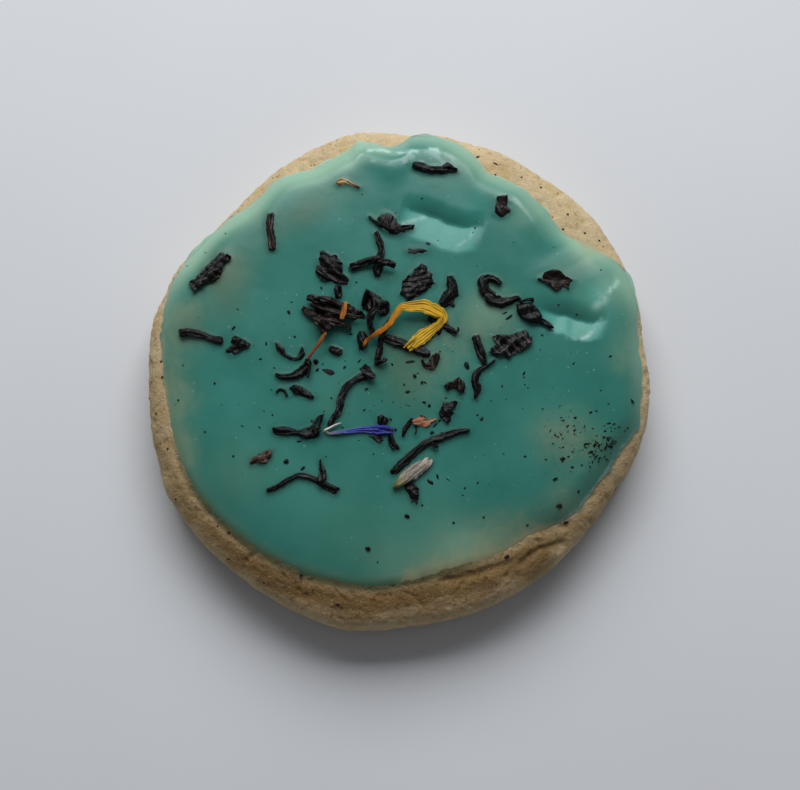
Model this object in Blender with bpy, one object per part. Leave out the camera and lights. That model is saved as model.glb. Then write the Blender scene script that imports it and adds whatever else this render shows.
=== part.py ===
"""Iced sugar cookie strewn with tea leaves and flower petals, modelled as solids.

Run it with blender --background --python part.py, or from Blender's text editor.
The model is in metres with +Z up. Its origin is under the middle of the cookie, on the
plane that the cookie rests on. +Y points to the back of the cookie, +X to its right.
"""

import math

import bmesh
import bpy
from mathutils import Vector, noise
from mathutils.bvhtree import BVHTree

# ---------------------------------------------------------------------------
# Driving dimensions, in millimetres. Bearings are degrees, anticlockwise from +X.
# ---------------------------------------------------------------------------

MM = 0.001
GAP = 0.3  # kept between pieces that touch

BISCUIT_RADIUS = 35.6
BISCUIT_HEIGHT = 10.8
BISCUIT_WIDEST_HEIGHT = 4.5
BISCUIT_SHOULDER_POWER = 4.0  # 2 is an ellipse's shoulder, higher is squarer
# A round cutter leaves the dough nearly round, and baking spreads it unevenly.
# Each lobe is (bearing, spread in degrees, millimetres out or in).
BISCUIT_LOBES = (
    (222, 38, 1.45),
    (132, 22, -1.7),
    (28, 30, 0.6),
    (100, 9, 0.6),
    (310, 28, -0.5),
    (345, 16, 0.35),
)
BISCUIT_TOP_SHARES = (0.3, 0.55, 0.72, 0.84, 0.92, 0.97, 1.0)
BISCUIT_FOOT = ((0.995, 2.4), (0.975, 0.9), (0.945, 0.1), (0.93, 0.0))
BISCUIT_SEGMENTS = 64

ICING_THICKNESS = 1.5
ICING_RIM_HEIGHT = 0.35
ICING_BEAD = 0.5  # how far the crisp edge swells over the rest
ICING_BEAD_INSET = 2.2
ICING_BEAD_SPREAD = 1.8
ICING_CRISP_ROLL = 1.5  # width of the rounded edge where the icing stopped thick
ICING_SOFT_ROLL = 6.0  # and where it ran out thin
ICING_CRISP_SIDES = ((60, 42), (112, 26), (335, 26), (10, 24))
ICING_SEGMENTS = 90
ICING_TOP_SHARES = (0.25, 0.44, 0.56, 0.64, 0.71, 0.77, 0.83, 0.89, 0.94, 0.975, 1.0)
ICING_UNDER_SHARES = (0.98, 0.94, 0.88, 0.79, 0.65, 0.4)
# Where the poured icing stopped: (bearing, radius).
ICING_EDGE = (
    (0, 34.3), (9, 35.1), (17, 35.9), (24, 35.7), (28, 34.4), (34, 32.4), (41, 30.4),
    (48, 31.1), (56, 32.1), (62, 31.4), (68, 32.0), (74, 34.2), (80, 35.4), (86, 35.2),
    (91, 33.2), (99, 34.6), (103, 33.2), (112, 32.4), (121, 33.2), (131, 32.5),
    (138, 33.7), (150, 34.6), (159, 35.0), (166, 34.7), (174, 34.0), (187, 33.6),
    (211, 33.6), (224, 32.4), (247, 31.8), (262, 31.2), (273, 30.1), (284, 29.4),
    (296, 29.7), (310, 30.2), (319, 31.7), (330, 32.3), (340, 33.2), (347, 34.3),
    (354, 34.0),
)
# Folds in the setting icing: (middle x, y, heading, half length, depth,
# width of the steep far wall, width of the gentle near wall).
ICING_FOLDS = (
    (5.2, 21.8, -19, 6.2, 1.0, 1.5, 3.0),
    (24.6, 7.2, -14, 5.6, 1.0, 1.6, 2.4),
)

TOPPING_SIDES = 8
TOPPING_TIP = 0.28  # how far a rounded end stands out, in widths
TOPPING_SLOPE = 0.55  # the steepest that a topping bends to lie over another
TOPPING_REACH = 0.5  # how far round a point the ground is felt for

BISCUIT_COLOUR = (0.78, 0.62, 0.40)
ICING_COLOUR = (0.10, 0.42, 0.36)
TEA_COLOUR = (0.016, 0.014, 0.016)
BROWN_TEA_COLOUR = (0.075, 0.035, 0.024)
YELLOW_COLOUR = (0.75, 0.40, 0.02)
ORANGE_COLOUR = (0.55, 0.13, 0.02)
BLUE_COLOUR = (0.03, 0.05, 0.35)
STRAW_COLOUR = (0.45, 0.38, 0.22)

# ---------------------------------------------------------------------------
# Toppings. A path's points are (x, y, width). The order is the order they fell in,
# because a later piece lies over an earlier one.
# ---------------------------------------------------------------------------

TEA_LEAVES = (
    # At the back left and left, each lying alone.
    dict(path=((-18.4, 22.4, 1.1), (-18.3, 19.9, 1.3), (-18.1, 17.1, 1.1)), thick=0.8),
    dict(
        path=((-24.9, 16.3, 1.5), (-26.4, 14.9, 2.2), (-27.8, 13.2, 2.4), (-29.4, 11.8, 1.7)),
        thick=0.8,
        crumple=0.5,
    ),
    dict(path=((-30.9, 5.2, 1.2), (-28.4, 4.4, 1.2), (-25.1, 3.7, 1.1)), thick=0.8),
    dict(path=((-21.0, 3.2, 0.7), (-22.6, 3.1, 2.5), (-24.3, 2.2, 1.1)), thick=0.6, cup=0.2),
    dict(
        path=((-11.0, 16.2, 1.8), (-10.5, 14.9, 3.5), (-9.4, 13.3, 4.2), (-8.3, 12.1, 1.9)),
        thick=0.6,
        cup=0.15,
        crumple=0.5,
    ),
    # The brown cluster left of the middle.
    dict(
        path=((-12.9, 9.8, 1.3), (-11.2, 9.2, 2.8), (-9.0, 8.3, 3.8), (-6.8, 7.6, 2.6), (-5.1, 7.2, 1.2)),
        thick=0.7,
        crumple=0.7,
        colour=BROWN_TEA_COLOUR,
    ),
    dict(
        path=((-13.6, 8.4, 0.8), (-11.2, 6.7, 1.6), (-9.3, 5.6, 2.0), (-7.0, 5.5, 1.0)),
        thick=0.9,
        crumple=0.4,
        colour=BROWN_TEA_COLOUR,
    ),
    dict(path=((-12.6, 0.7, 0.9), (-14.5, -1.3, 1.2), (-17.2, -1.2, 0.6)), thick=0.9, arch=0.5),
    dict(
        path=((-17.4, 3.4, 0.6), (-16.6, 1.9, 0.8), (-15.2, 1.1, 0.8), (-13.8, 1.2, 0.8), (-13.6, 2.6, 0.6)),
        thick=0.6,
    ),
    dict(path=((-9.9, 2.4, 1.0), (-9.0, 2.3, 1.3), (-8.1, 2.2, 1.0)), thick=0.8, colour=BROWN_TEA_COLOUR),
    # At the back of the middle: a keeled leaf on a leaf that forks.
    dict(
        path=((-3.2, 19.3, 0.9), (-2.5, 17.4, 1.2), (-3.4, 15.4, 1.5), (-6.3, 14.1, 0.9)),
        branch=((-3.3, 15.6, 1.0), (-2.0, 14.9, 0.9), (-0.8, 14.6, 0.8)),
        thick=0.8,
        crumple=0.3,
    ),
    dict(
        path=((-4.3, 21.2, 0.6), (-2.4, 21.2, 2.1), (-0.4, 20.2, 1.8), (1.9, 20.3, 0.6)),
        thick=0.9,
        cup=-0.3,
        crumple=0.3,
    ),
    dict(path=((-4.7, 11.0, 1.6), (-4.0, 9.7, 2.8), (-3.4, 8.4, 2.0)), thick=0.9, crumple=0.6),
    dict(path=((-1.4, 8.7, 1.2), (-2.4, 7.7, 1.8), (-3.6, 6.4, 1.1)), thick=0.7, cup=0.2),
    dict(path=((-1.2, 7.0, 0.8), (-2.2, 4.2, 0.9), (-2.9, 1.3, 0.9), (-2.1, 0.7, 0.7)), thick=0.7),
    dict(path=((-5.6, 4.9, 1.3), (-5.3, 3.8, 1.9), (-5.0, 2.7, 1.2)), thick=0.7, crumple=0.4),
    dict(path=((-1.6, 4.3, 1.2), (1.2, 3.0, 1.4), (4.0, 1.6, 1.0)), thick=1.0),
    dict(path=((4.8, 6.5, 0.9), (6.2, 5.5, 1.0), (7.6, 4.5, 0.8)), thick=0.6),
    # At the back and back right.
    dict(
        path=((1.9, 29.7, 1.0), (4.2, 28.6, 1.3), (6.2, 29.2, 1.3), (7.9, 28.9, 0.7)),
        thick=1.0,
        crumple=0.2,
    ),
    dict(path=((14.9, 24.8, 1.3), (14.7, 23.4, 1.9), (14.5, 22.1, 2.3)), thick=0.7, cup=0.25),
    dict(
        path=((3.5, 14.4, 1.7), (2.8, 12.7, 4.0), (1.8, 11.0, 3.9), (0.9, 9.9, 1.8)),
        thick=0.7,
        crumple=0.6,
    ),
    dict(path=((7.0, 12.8, 1.2), (6.6, 11.0, 2.1), (5.9, 9.3, 1.5)), thick=0.9, crumple=0.4),
    dict(
        path=(
            (14.0, 12.3, 0.9), (12.7, 12.9, 1.4), (11.6, 12.0, 1.7), (12.2, 10.4, 1.7),
            (13.6, 9.3, 1.6), (15.3, 9.2, 1.3), (16.9, 9.8, 0.7),
        ),
        thick=1.0,
        rings=11,
        crumple=0.3,
    ),
    dict(path=((18.5, 9.6, 1.6), (18.3, 8.2, 2.9), (19.7, 6.7, 2.0), (21.3, 5.7, 0.6)), thick=1.2),
    dict(
        path=((19.9, 12.9, 1.2), (21.3, 12.4, 2.6), (22.7, 12.2, 2.9), (24.3, 12.5, 1.4)),
        thick=0.6,
        cup=0.6,
        colour=BROWN_TEA_COLOUR,
    ),
    dict(
        path=((12.9, 2.8, 1.5), (14.4, 3.2, 2.9), (16.6, 3.8, 3.1), (18.3, 4.5, 2.0)),
        thick=0.9,
        crumple=0.8,
    ),
    # Right of the middle.
    dict(path=((10.4, 3.9, 1.0), (11.2, 2.3, 1.3), (11.8, 1.1, 1.1)), thick=0.8),
    dict(
        path=((13.0, 0.8, 0.8), (11.6, -0.1, 1.0), (10.7, -1.5, 1.1), (10.4, -3.0, 1.0), (10.2, -4.3, 0.8)),
        thick=0.8,
    ),
    dict(path=((3.2, 1.1, 0.9), (4.3, 0.8, 1.6), (4.8, -0.4, 1.1)), thick=0.7, colour=BROWN_TEA_COLOUR),
    dict(path=((1.0, 17.0, 0.6), (2.3, 17.0, 0.6), (3.6, 17.0, 0.5)), thick=0.5),
    dict(path=((6.8, -3.1, 1.1), (7.9, -2.7, 1.9), (9.1, -2.3, 1.0)), thick=0.8, colour=BROWN_TEA_COLOUR),
    dict(path=((7.3, -5.1, 1.3), (6.6, -6.2, 2.2), (6.8, -7.5, 1.0)), thick=0.8, crumple=0.5),
    # At the front left.
    dict(path=((-15.2, -2.8, 0.7), (-13.5, -3.5, 1.5), (-11.9, -4.3, 0.7)), thick=0.7),
    dict(
        path=((-3.6, -0.2, 1.3), (-5.0, -1.1, 1.8), (-6.6, -2.4, 1.3), (-8.0, -4.8, 1.3), (-9.5, -7.8, 1.0)),
        thick=0.9,
        crumple=0.3,
    ),
    dict(
        path=((-17.5, -8.7, 1.3), (-14.8, -9.5, 1.8), (-12.6, -9.7, 2.2), (-11.3, -8.6, 1.9), (-10.8, -7.3, 0.9)),
        thick=0.9,
        crumple=0.4,
    ),
    dict(path=((-20.7, -13.4, 1.0), (-19.2, -12.6, 1.9), (-17.9, -11.9, 1.1)), thick=0.7, colour=BROWN_TEA_COLOUR),
    dict(
        path=(
            (-18.4, -17.3, 0.7), (-16.7, -16.4, 1.0), (-14.8, -15.4, 1.2), (-12.9, -15.0, 1.3),
            (-10.9, -15.8, 1.2), (-9.2, -17.4, 0.8),
        ),
        branch=((-11.9, -15.4, 0.9), (-10.6, -14.8, 0.9), (-10.8, -13.4, 0.7)),
        thick=0.9,
        rings=10,
    ),
    # At the front of the middle, round the blue petal and the husk.
    dict(path=((-3.5, -8.2, 1.1), (-2.8, -7.5, 1.5), (-2.2, -6.8, 1.0)), thick=0.6),
    dict(path=((-0.8, -9.3, 1.0), (-0.5, -10.3, 1.1), (-0.3, -11.5, 1.0)), thick=0.8),
    dict(path=((1.6, -7.6, 0.8), (0.9, -8.6, 0.9), (0.3, -9.7, 0.7)), thick=0.6),
    dict(
        path=(
            (9.5, -9.1, 0.7), (7.3, -9.7, 1.1), (5.1, -10.2, 1.4), (2.9, -11.0, 1.5),
            (1.2, -12.5, 1.3), (-1.0, -14.9, 1.0),
        ),
        thick=1.1,
        rings=10,
    ),
    dict(path=((1.0, -16.3, 1.1), (1.9, -17.5, 1.7), (2.6, -18.9, 1.4)), thick=0.7, crumple=0.3),
)

# Petals and other flower parts, by name.
FLOWER_PARTS = (
    dict(name="golden_bract", path=((-8.6, 27.0, 0.9), (-7.4, 26.8, 0.8), (-5.8, 26.1, 0.4)),
         thick=0.7, colour=STRAW_COLOUR),
    dict(name="orange_stamen", path=((-10.5, 4.2, 0.6), (-11.5, 2.6, 0.6), (-12.7, 1.2, 0.5)),
         thick=0.6, colour=ORANGE_COLOUR),
    dict(name="orange_petal_stub", path=((-7.5, 8.7, 0.6), (-7.8, 7.6, 0.7), (-8.1, 6.8, 0.8)),
         thick=0.4, colour=ORANGE_COLOUR),
    dict(name="orange_fragment", path=((2.1, -7.8, 0.8), (3.1, -7.6, 1.4), (4.2, -7.3, 0.8)),
         thick=0.7, colour=ORANGE_COLOUR),
    dict(
        name="yellow_petal",
        path=(
            (-4.8, 3.0, 0.5), (-2.6, 4.6, 0.8), (-0.5, 7.4, 1.3), (1.3, 8.6, 1.8), (3.6, 8.7, 2.1),
            (5.6, 7.9, 1.6), (5.7, 6.5, 1.2), (3.6, 4.9, 1.5), (1.3, 2.9, 1.4),
        ),
        thick=0.45,
        arch=1.4,
        rings=16,
        colour=YELLOW_COLOUR,
    ),
    dict(
        name="blue_petal",
        path=((-10.3, -9.2, 0.4), (-7.8, -9.2, 0.6), (-4.9, -9.0, 1.3), (-1.4, -9.0, 1.6)),
        thick=0.45,
        arch=0.4,
        cup=0.2,
        colour=BLUE_COLOUR,
    ),
    dict(
        name="straw_husk",
        path=((3.7, -13.7, 1.7), (2.3, -14.8, 1.9), (0.9, -15.9, 1.4), (-0.6, -17.0, 0.4)),
        thick=1.2,
        colour=STRAW_COLOUR,
    ),
)


# ---------------------------------------------------------------------------
# Shape rules
# ---------------------------------------------------------------------------


def turn_between(bearing, middle):
    """Degrees from middle to bearing the short way round, from -180 to 180."""
    return (bearing - middle + 180) % 360 - 180


def bump(offset, spread):
    """A smooth hump: 1 at no offset, a third of it one spread away."""
    return math.exp(-((offset / spread) ** 2))


def biscuit_radius(bearing):
    """Radius of the dough's widest outline."""
    return BISCUIT_RADIUS + sum(
        out * bump(turn_between(bearing, middle), spread) for middle, spread, out in BISCUIT_LOBES
    )


def biscuit_top(x, y):
    """Height of the dough's domed top, down to its widest line."""
    share = min(1.0, math.hypot(x, y) / biscuit_radius(math.degrees(math.atan2(y, x))))
    shoulder = (1.0 - share**BISCUIT_SHOULDER_POWER) ** (1.0 / BISCUIT_SHOULDER_POWER)
    return BISCUIT_WIDEST_HEIGHT + (BISCUIT_HEIGHT - BISCUIT_WIDEST_HEIGHT) * shoulder


def catmull_rom(before, start, end, after, share):
    """The number a share of the way from start to end, on a smooth curve through all four."""
    straight = 2 * start + (end - before) * share
    bend = (2 * before - 5 * start + 4 * end - after) * share**2
    twist = (3 * start - before - 3 * end + after) * share**3
    return (straight + bend + twist) / 2


def icing_radius(bearing):
    """Radius of the icing's edge, read smoothly between the points of ICING_EDGE."""
    bearing %= 360
    count = len(ICING_EDGE)
    first = max(i for i in range(count) if ICING_EDGE[i][0] <= bearing)
    span = (ICING_EDGE[(first + 1) % count][0] - ICING_EDGE[first][0]) % 360
    share = (bearing - ICING_EDGE[first][0]) / span
    radii = [ICING_EDGE[(first + step) % count][1] for step in (-1, 0, 1, 2)]
    return catmull_rom(*radii, share)


def icing_crispness(bearing):
    """1 where the icing stopped as a thick rolled edge, 0 where it soaked away thin."""
    return min(1.0, sum(bump(turn_between(bearing, at), spread) for at, spread in ICING_CRISP_SIDES))


def icing_fold(x, y):
    """How far the folds sink the icing at a point."""
    depth = 0.0
    for middle_x, middle_y, heading, half_length, fold_depth, steep, gentle in ICING_FOLDS:
        along_x, along_y = math.cos(math.radians(heading)), math.sin(math.radians(heading))
        along = (x - middle_x) * along_x + (y - middle_y) * along_y
        across = (y - middle_y) * along_x - (x - middle_x) * along_y
        length_share = max(0.0, 1.0 - (along / half_length) ** 2)
        depth += fold_depth * length_share * bump(across, steep if across > 0 else gentle)
    return depth


def icing_thickness(x, y):
    """Thickness of the icing at a point inside its edge."""
    bearing = math.degrees(math.atan2(y, x))
    inset = max(0.0, icing_radius(bearing) - math.hypot(x, y))
    crisp = icing_crispness(bearing)
    roll = ICING_SOFT_ROLL + (ICING_CRISP_ROLL - ICING_SOFT_ROLL) * crisp
    rounding = math.sqrt(1.0 - (1.0 - min(1.0, inset / roll)) ** 2)
    bead = ICING_BEAD * crisp * bump(inset - ICING_BEAD_INSET, ICING_BEAD_SPREAD)
    full = ICING_THICKNESS + bead - icing_fold(x, y)
    return ICING_RIM_HEIGHT + (full - ICING_RIM_HEIGHT) * rounding


# ---------------------------------------------------------------------------
# Building tools
# ---------------------------------------------------------------------------


def clear_scene():
    for old in list(bpy.data.objects):
        bpy.data.objects.remove(old, do_unlink=True)


def new_collection(name):
    collection = bpy.data.collections.new(name)
    bpy.context.scene.collection.children.link(collection)
    return collection


def finish(name, colour, roughness):
    """A plain Principled finish for one piece. Food isn't metallic."""
    material = bpy.data.materials.new(name)
    material.use_nodes = True
    shader = material.node_tree.nodes["Principled BSDF"]
    shader.inputs["Base Color"].default_value = (*colour, 1.0)
    shader.inputs["Roughness"].default_value = roughness
    shader.inputs["Metallic"].default_value = 0.0
    return material


def reshaped_ball(name, segments, rings, place, collection):
    """A closed solid: a ball whose points are moved by place(turn, ring).

    turn is the angle round the ball's axis, and ring counts from 0 at the top pole to
    rings at the bottom pole. place returns millimetres.
    """
    ball = bmesh.new()
    bmesh.ops.create_uvsphere(ball, u_segments=segments, v_segments=rings, radius=1.0)
    for vert in ball.verts:
        turn = math.atan2(vert.co.y, vert.co.x)
        ring = round(math.acos(max(-1.0, min(1.0, vert.co.z))) / math.pi * rings)
        vert.co = Vector(place(turn, ring)) * MM
    mesh = bpy.data.meshes.new(name)
    ball.to_mesh(mesh)
    ball.free()
    solid = bpy.data.objects.new(name, mesh)
    collection.objects.link(solid)
    return solid


def surface_tree(solid):
    """What ray casts need to feel for this solid's surface."""
    shape = bmesh.new()
    shape.from_mesh(solid.data)
    tree = BVHTree.FromBMesh(shape)
    shape.free()
    return tree


def grow_together(solid, branch):
    """Makes solid and branch one body, and removes the branch."""
    joint = solid.modifiers.new("fork", "BOOLEAN")
    joint.operation = "UNION"
    joint.solver = "EXACT"
    joint.object = branch
    bpy.context.view_layer.update()
    evaluated = solid.evaluated_get(bpy.context.evaluated_depsgraph_get())
    joined = bpy.data.meshes.new_from_object(evaluated)
    solid.modifiers.remove(joint)
    solid.data = joined
    bpy.data.objects.remove(branch, do_unlink=True)


# ---------------------------------------------------------------------------
# Biscuit and icing
# ---------------------------------------------------------------------------


def make_biscuit(collection):
    """The baked dough: a domed top, a rounded shoulder and side, and a flat base."""
    rings = len(BISCUIT_TOP_SHARES) + len(BISCUIT_FOOT) + 1

    def place(turn, ring):
        radius = biscuit_radius(math.degrees(turn))
        if ring == 0:
            return 0.0, 0.0, BISCUIT_HEIGHT
        if ring == rings:
            return 0.0, 0.0, 0.0
        if ring <= len(BISCUIT_TOP_SHARES):
            reach = BISCUIT_TOP_SHARES[ring - 1] * radius
            x, y = reach * math.cos(turn), reach * math.sin(turn)
            return x, y, biscuit_top(x, y)
        share, height = BISCUIT_FOOT[ring - 1 - len(BISCUIT_TOP_SHARES)]
        return share * radius * math.cos(turn), share * radius * math.sin(turn), height

    return reshaped_ball("biscuit", BISCUIT_SEGMENTS, rings, place, collection)


def make_icing(collection):
    """The poured icing: it follows the dough, with a rounded edge and two folds."""
    rings = len(ICING_TOP_SHARES) + len(ICING_UNDER_SHARES) + 1

    def place(turn, ring):
        edge = icing_radius(math.degrees(turn))
        if ring in (0, rings):
            share = 0.0
        elif ring <= len(ICING_TOP_SHARES):
            share = ICING_TOP_SHARES[ring - 1]
        else:
            share = ICING_UNDER_SHARES[ring - 1 - len(ICING_TOP_SHARES)]
        x, y = share * edge * math.cos(turn), share * edge * math.sin(turn)
        # The edge may hang out over the shoulder, but it doesn't run down the side.
        held = min(1.0, 0.975 * biscuit_radius(math.degrees(turn)) / max(share * edge, 1.0))
        floor = biscuit_top(x * held, y * held) + GAP
        if ring <= len(ICING_TOP_SHARES):
            return x, y, floor + icing_thickness(x, y)
        return x, y, floor

    return reshaped_ball("icing", ICING_SEGMENTS, rings, place, collection)


# ---------------------------------------------------------------------------
# Toppings
# ---------------------------------------------------------------------------


def along(path, share):
    """(x, y, width) a share of the way along a smooth curve through the path's points."""
    spans = len(path) - 1
    first = min(spans - 1, int(share * spans))
    picks = [path[max(0, min(spans, first + step))] for step in (-1, 0, 1, 2)]
    return [catmull_rom(*values, share * spans - first) for values in zip(*picks)]


def bare_strip(name, path, thick, rings, cup, arch, crumple, collection):
    """A dried strip that follows a path, with its lowest point near z = 0.

    cup lifts both long edges (or drops them, below 0), arch lifts the middle of its
    length, and crumple wrinkles it.
    """
    seed = 10.0 * path[0][0] + path[0][1]
    last = rings - 2

    def place(turn, ring):
        share = min(1.0, max(0.0, (ring - 1) / last))
        x, y, width = along(path, share)
        ahead = along(path, min(1.0, share + 0.02))
        behind = along(path, max(0.0, share - 0.02))
        heading = Vector((ahead[0] - behind[0], ahead[1] - behind[1])).normalized()
        reach = 0.0
        tip = TOPPING_TIP * width if ring == rings else 0.0
        tip = -TOPPING_TIP * width if ring == 0 else tip
        if 0 < ring < rings:
            reach = math.cos(turn) * width / 2
        x += heading.y * reach + heading.x * tip
        y += -heading.x * reach + heading.y * tip
        height = thick / 2 * (1.0 + (math.sin(turn) if 0 < ring < rings else 0.0))
        height += cup * abs(reach) + arch * math.sin(math.pi * share)
        height += crumple * noise.noise(Vector((x * 0.9, y * 0.9, seed)))
        return x, y, height

    return reshaped_ball(name, TOPPING_SIDES, rings, place, collection)


def ground(x, y, trees):
    """The highest surface close round a point, in metres."""
    top = 0.0
    for turn in range(9):
        reach = TOPPING_REACH * MM if turn else 0.0
        start = Vector((x + reach * math.cos(turn * math.pi / 4), y + reach * math.sin(turn * math.pi / 4), 1.0))
        for tree in trees:
            hit = tree.ray_cast(start, Vector((0.0, 0.0, -1.0)))[0]
            if hit is not None:
                top = max(top, hit.z)
    return top


def lay_down(solid, trees):
    """Lets a piece sag onto what lies under it, bending no more steeply than it can."""
    points = [vert.co.copy() for vert in solid.data.vertices]
    needs = [ground(point.x, point.y, trees) + GAP * MM - point.z for point in points]
    for vert, point in zip(solid.data.vertices, points):
        vert.co.z += max(
            need - TOPPING_SLOPE * math.hypot(other.x - point.x, other.y - point.y)
            for need, other in zip(needs, points)
        )
    solid.data.update()


def make_topping(name, path, trees, collection, thick, colour, roughness,
                 branch=None, rings=8, cup=0.0, arch=0.0, crumple=0.0):
    """One leaf or petal, laid on everything that fell before it."""
    solid = bare_strip(name, path, thick, rings, cup, arch, crumple, collection)
    if branch:
        fork = bare_strip(name + "_fork", branch, thick * 0.9, 6, cup, arch, 0.0, collection)
        grow_together(solid, fork)
    lay_down(solid, trees)
    solid.data.shade_smooth()
    solid.data.materials.append(finish(name, colour, roughness))
    trees.append(surface_tree(solid))
    return solid


# ---------------------------------------------------------------------------
# The cookie
# ---------------------------------------------------------------------------


def main():
    clear_scene()
    cookie = new_collection("iced_sugar_cookie")

    biscuit = make_biscuit(cookie)
    biscuit.data.shade_smooth()
    biscuit.data.materials.append(finish("biscuit", BISCUIT_COLOUR, 0.85))

    icing = make_icing(cookie)
    icing.data.shade_smooth()
    icing.data.materials.append(finish("icing", ICING_COLOUR, 0.35))

    trees = [surface_tree(biscuit), surface_tree(icing)]
    for number, leaf in enumerate(TEA_LEAVES, start=1):
        facts = dict(leaf)
        facts.setdefault("colour", TEA_COLOUR)
        make_topping(f"tea_leaf_{number:02d}", trees=trees, collection=cookie, roughness=0.6, **facts)
    for part in FLOWER_PARTS:
        make_topping(trees=trees, collection=cookie, roughness=0.55, **part)


main()
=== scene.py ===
# %% [markdown]
# # An iced sugar cookie, strewn with tea leaves and petals
# The cookie is a soft-baked disc of dough under a poured coat of teal icing. Black tea
# leaves, a few bits of dried flower and a little tea dust fell on the icing before it set.
# The solids give each piece its true size and place. This lesson remakes them finely enough
# to look at closely, and gives each its finish.

# %% Load the solids
import math
import random

import bmesh
import bpy
import numpy as np
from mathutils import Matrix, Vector, noise
from mathutils.bvhtree import BVHTree
from mathutils.kdtree import KDTree


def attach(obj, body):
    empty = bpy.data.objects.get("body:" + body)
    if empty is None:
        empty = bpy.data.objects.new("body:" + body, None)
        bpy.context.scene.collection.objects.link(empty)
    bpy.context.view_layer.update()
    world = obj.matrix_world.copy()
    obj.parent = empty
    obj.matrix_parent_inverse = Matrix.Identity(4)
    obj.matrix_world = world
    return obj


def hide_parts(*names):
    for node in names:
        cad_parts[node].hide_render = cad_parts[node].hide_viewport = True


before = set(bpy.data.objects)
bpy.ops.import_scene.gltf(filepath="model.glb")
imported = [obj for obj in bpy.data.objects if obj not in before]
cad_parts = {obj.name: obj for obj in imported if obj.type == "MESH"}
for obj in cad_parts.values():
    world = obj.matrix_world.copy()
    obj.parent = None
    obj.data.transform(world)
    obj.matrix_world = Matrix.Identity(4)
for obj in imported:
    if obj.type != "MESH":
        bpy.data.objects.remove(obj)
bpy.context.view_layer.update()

MM = 0.001  # sizes below are in millimetres, and Blender's are in metres

# %% [markdown]
# ## Camera
# The cookie is seen from almost straight above, so the camera looks down at 80 degrees. It
# could stand close with a wide lens, but that would swell the near side. A camera 262 mm
# away with a long lens keeps the disc round.

# %% Camera
CAMERA_ELEVATION = 80.0
CAMERA_DISTANCE = 262.0
CAMERA_TARGET = Vector((0.0, -2.9, 6.0))
CAMERA_LENS = 82.2
CAMERA_NEAREST = 10.0  # nothing nearer than this is drawn


def add_object(name, data):
    """An object that shows a mesh, a light or a camera."""
    added = bpy.data.objects.new(name, data)
    bpy.context.scene.collection.objects.link(added)
    return added


def place_camera():
    """A camera on the near side, looking at the cookie."""
    tilt = math.radians(CAMERA_ELEVATION)
    back = Vector((0.0, -math.cos(tilt), math.sin(tilt)))
    camera = add_object("camera", bpy.data.cameras.new("camera"))
    camera.location = (CAMERA_TARGET + back * CAMERA_DISTANCE) * MM
    camera.rotation_euler = (math.radians(90.0 - CAMERA_ELEVATION), 0.0, 0.0)
    camera.data.lens = CAMERA_LENS
    camera.data.clip_start = CAMERA_NEAREST * MM
    bpy.context.scene.camera = camera
    return camera


print("camera at", [round(side, 3) for side in place_camera().location])

# %% [markdown]
# ## Light
# One large window stands beyond the cookie. It could be a sun lamp, but a sun throws hard
# shadows, so it is a wide area light on the far side. It lights the far shoulder, leaves the
# near one in shade, and glazes the slopes of the icing that lean towards it. A dim grey world
# stands for the rest of the room.

# %% Light
WINDOW_SIZE = (0.62, 0.42)
WINDOW_ELEVATION = 42.0
WINDOW_DISTANCE = 0.62
WINDOW_POWER = 4.9
WINDOW_COLOUR = (0.96, 0.98, 1.0)
ROOM_COLOUR = (0.14, 0.145, 0.155)


def hang_window():
    """A soft window beyond the cookie, facing it."""
    tilt = math.radians(WINDOW_ELEVATION)
    light = bpy.data.lights.new("window", "AREA")
    light.shape = "RECTANGLE"
    light.size, light.size_y = WINDOW_SIZE
    light.energy = WINDOW_POWER
    light.color = WINDOW_COLOUR
    window = add_object("window", light)
    window.location = (0.0, math.cos(tilt) * WINDOW_DISTANCE, math.sin(tilt) * WINDOW_DISTANCE)
    window.rotation_euler = (-math.radians(90.0 - WINDOW_ELEVATION), 0.0, 0.0)
    return window


def dim_room():
    """Grey light from all round."""
    world = bpy.data.worlds.new("room")
    world.use_nodes = True
    world.node_tree.nodes["Background"].inputs["Color"].default_value = (*ROOM_COLOUR, 1.0)
    bpy.context.scene.world = world


dim_room()
bpy.context.scene.view_settings.view_transform = "Standard"
print("window at", [round(side, 3) for side in hang_window().location])

# %% [markdown]
# ## Writing materials as sums
# A material's pattern is arithmetic on textures. Wiring Math nodes by hand hides it, so a
# small class holds one wire and turns +, - and * into nodes, also where the number comes
# first, as in 1 - mask.

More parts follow.
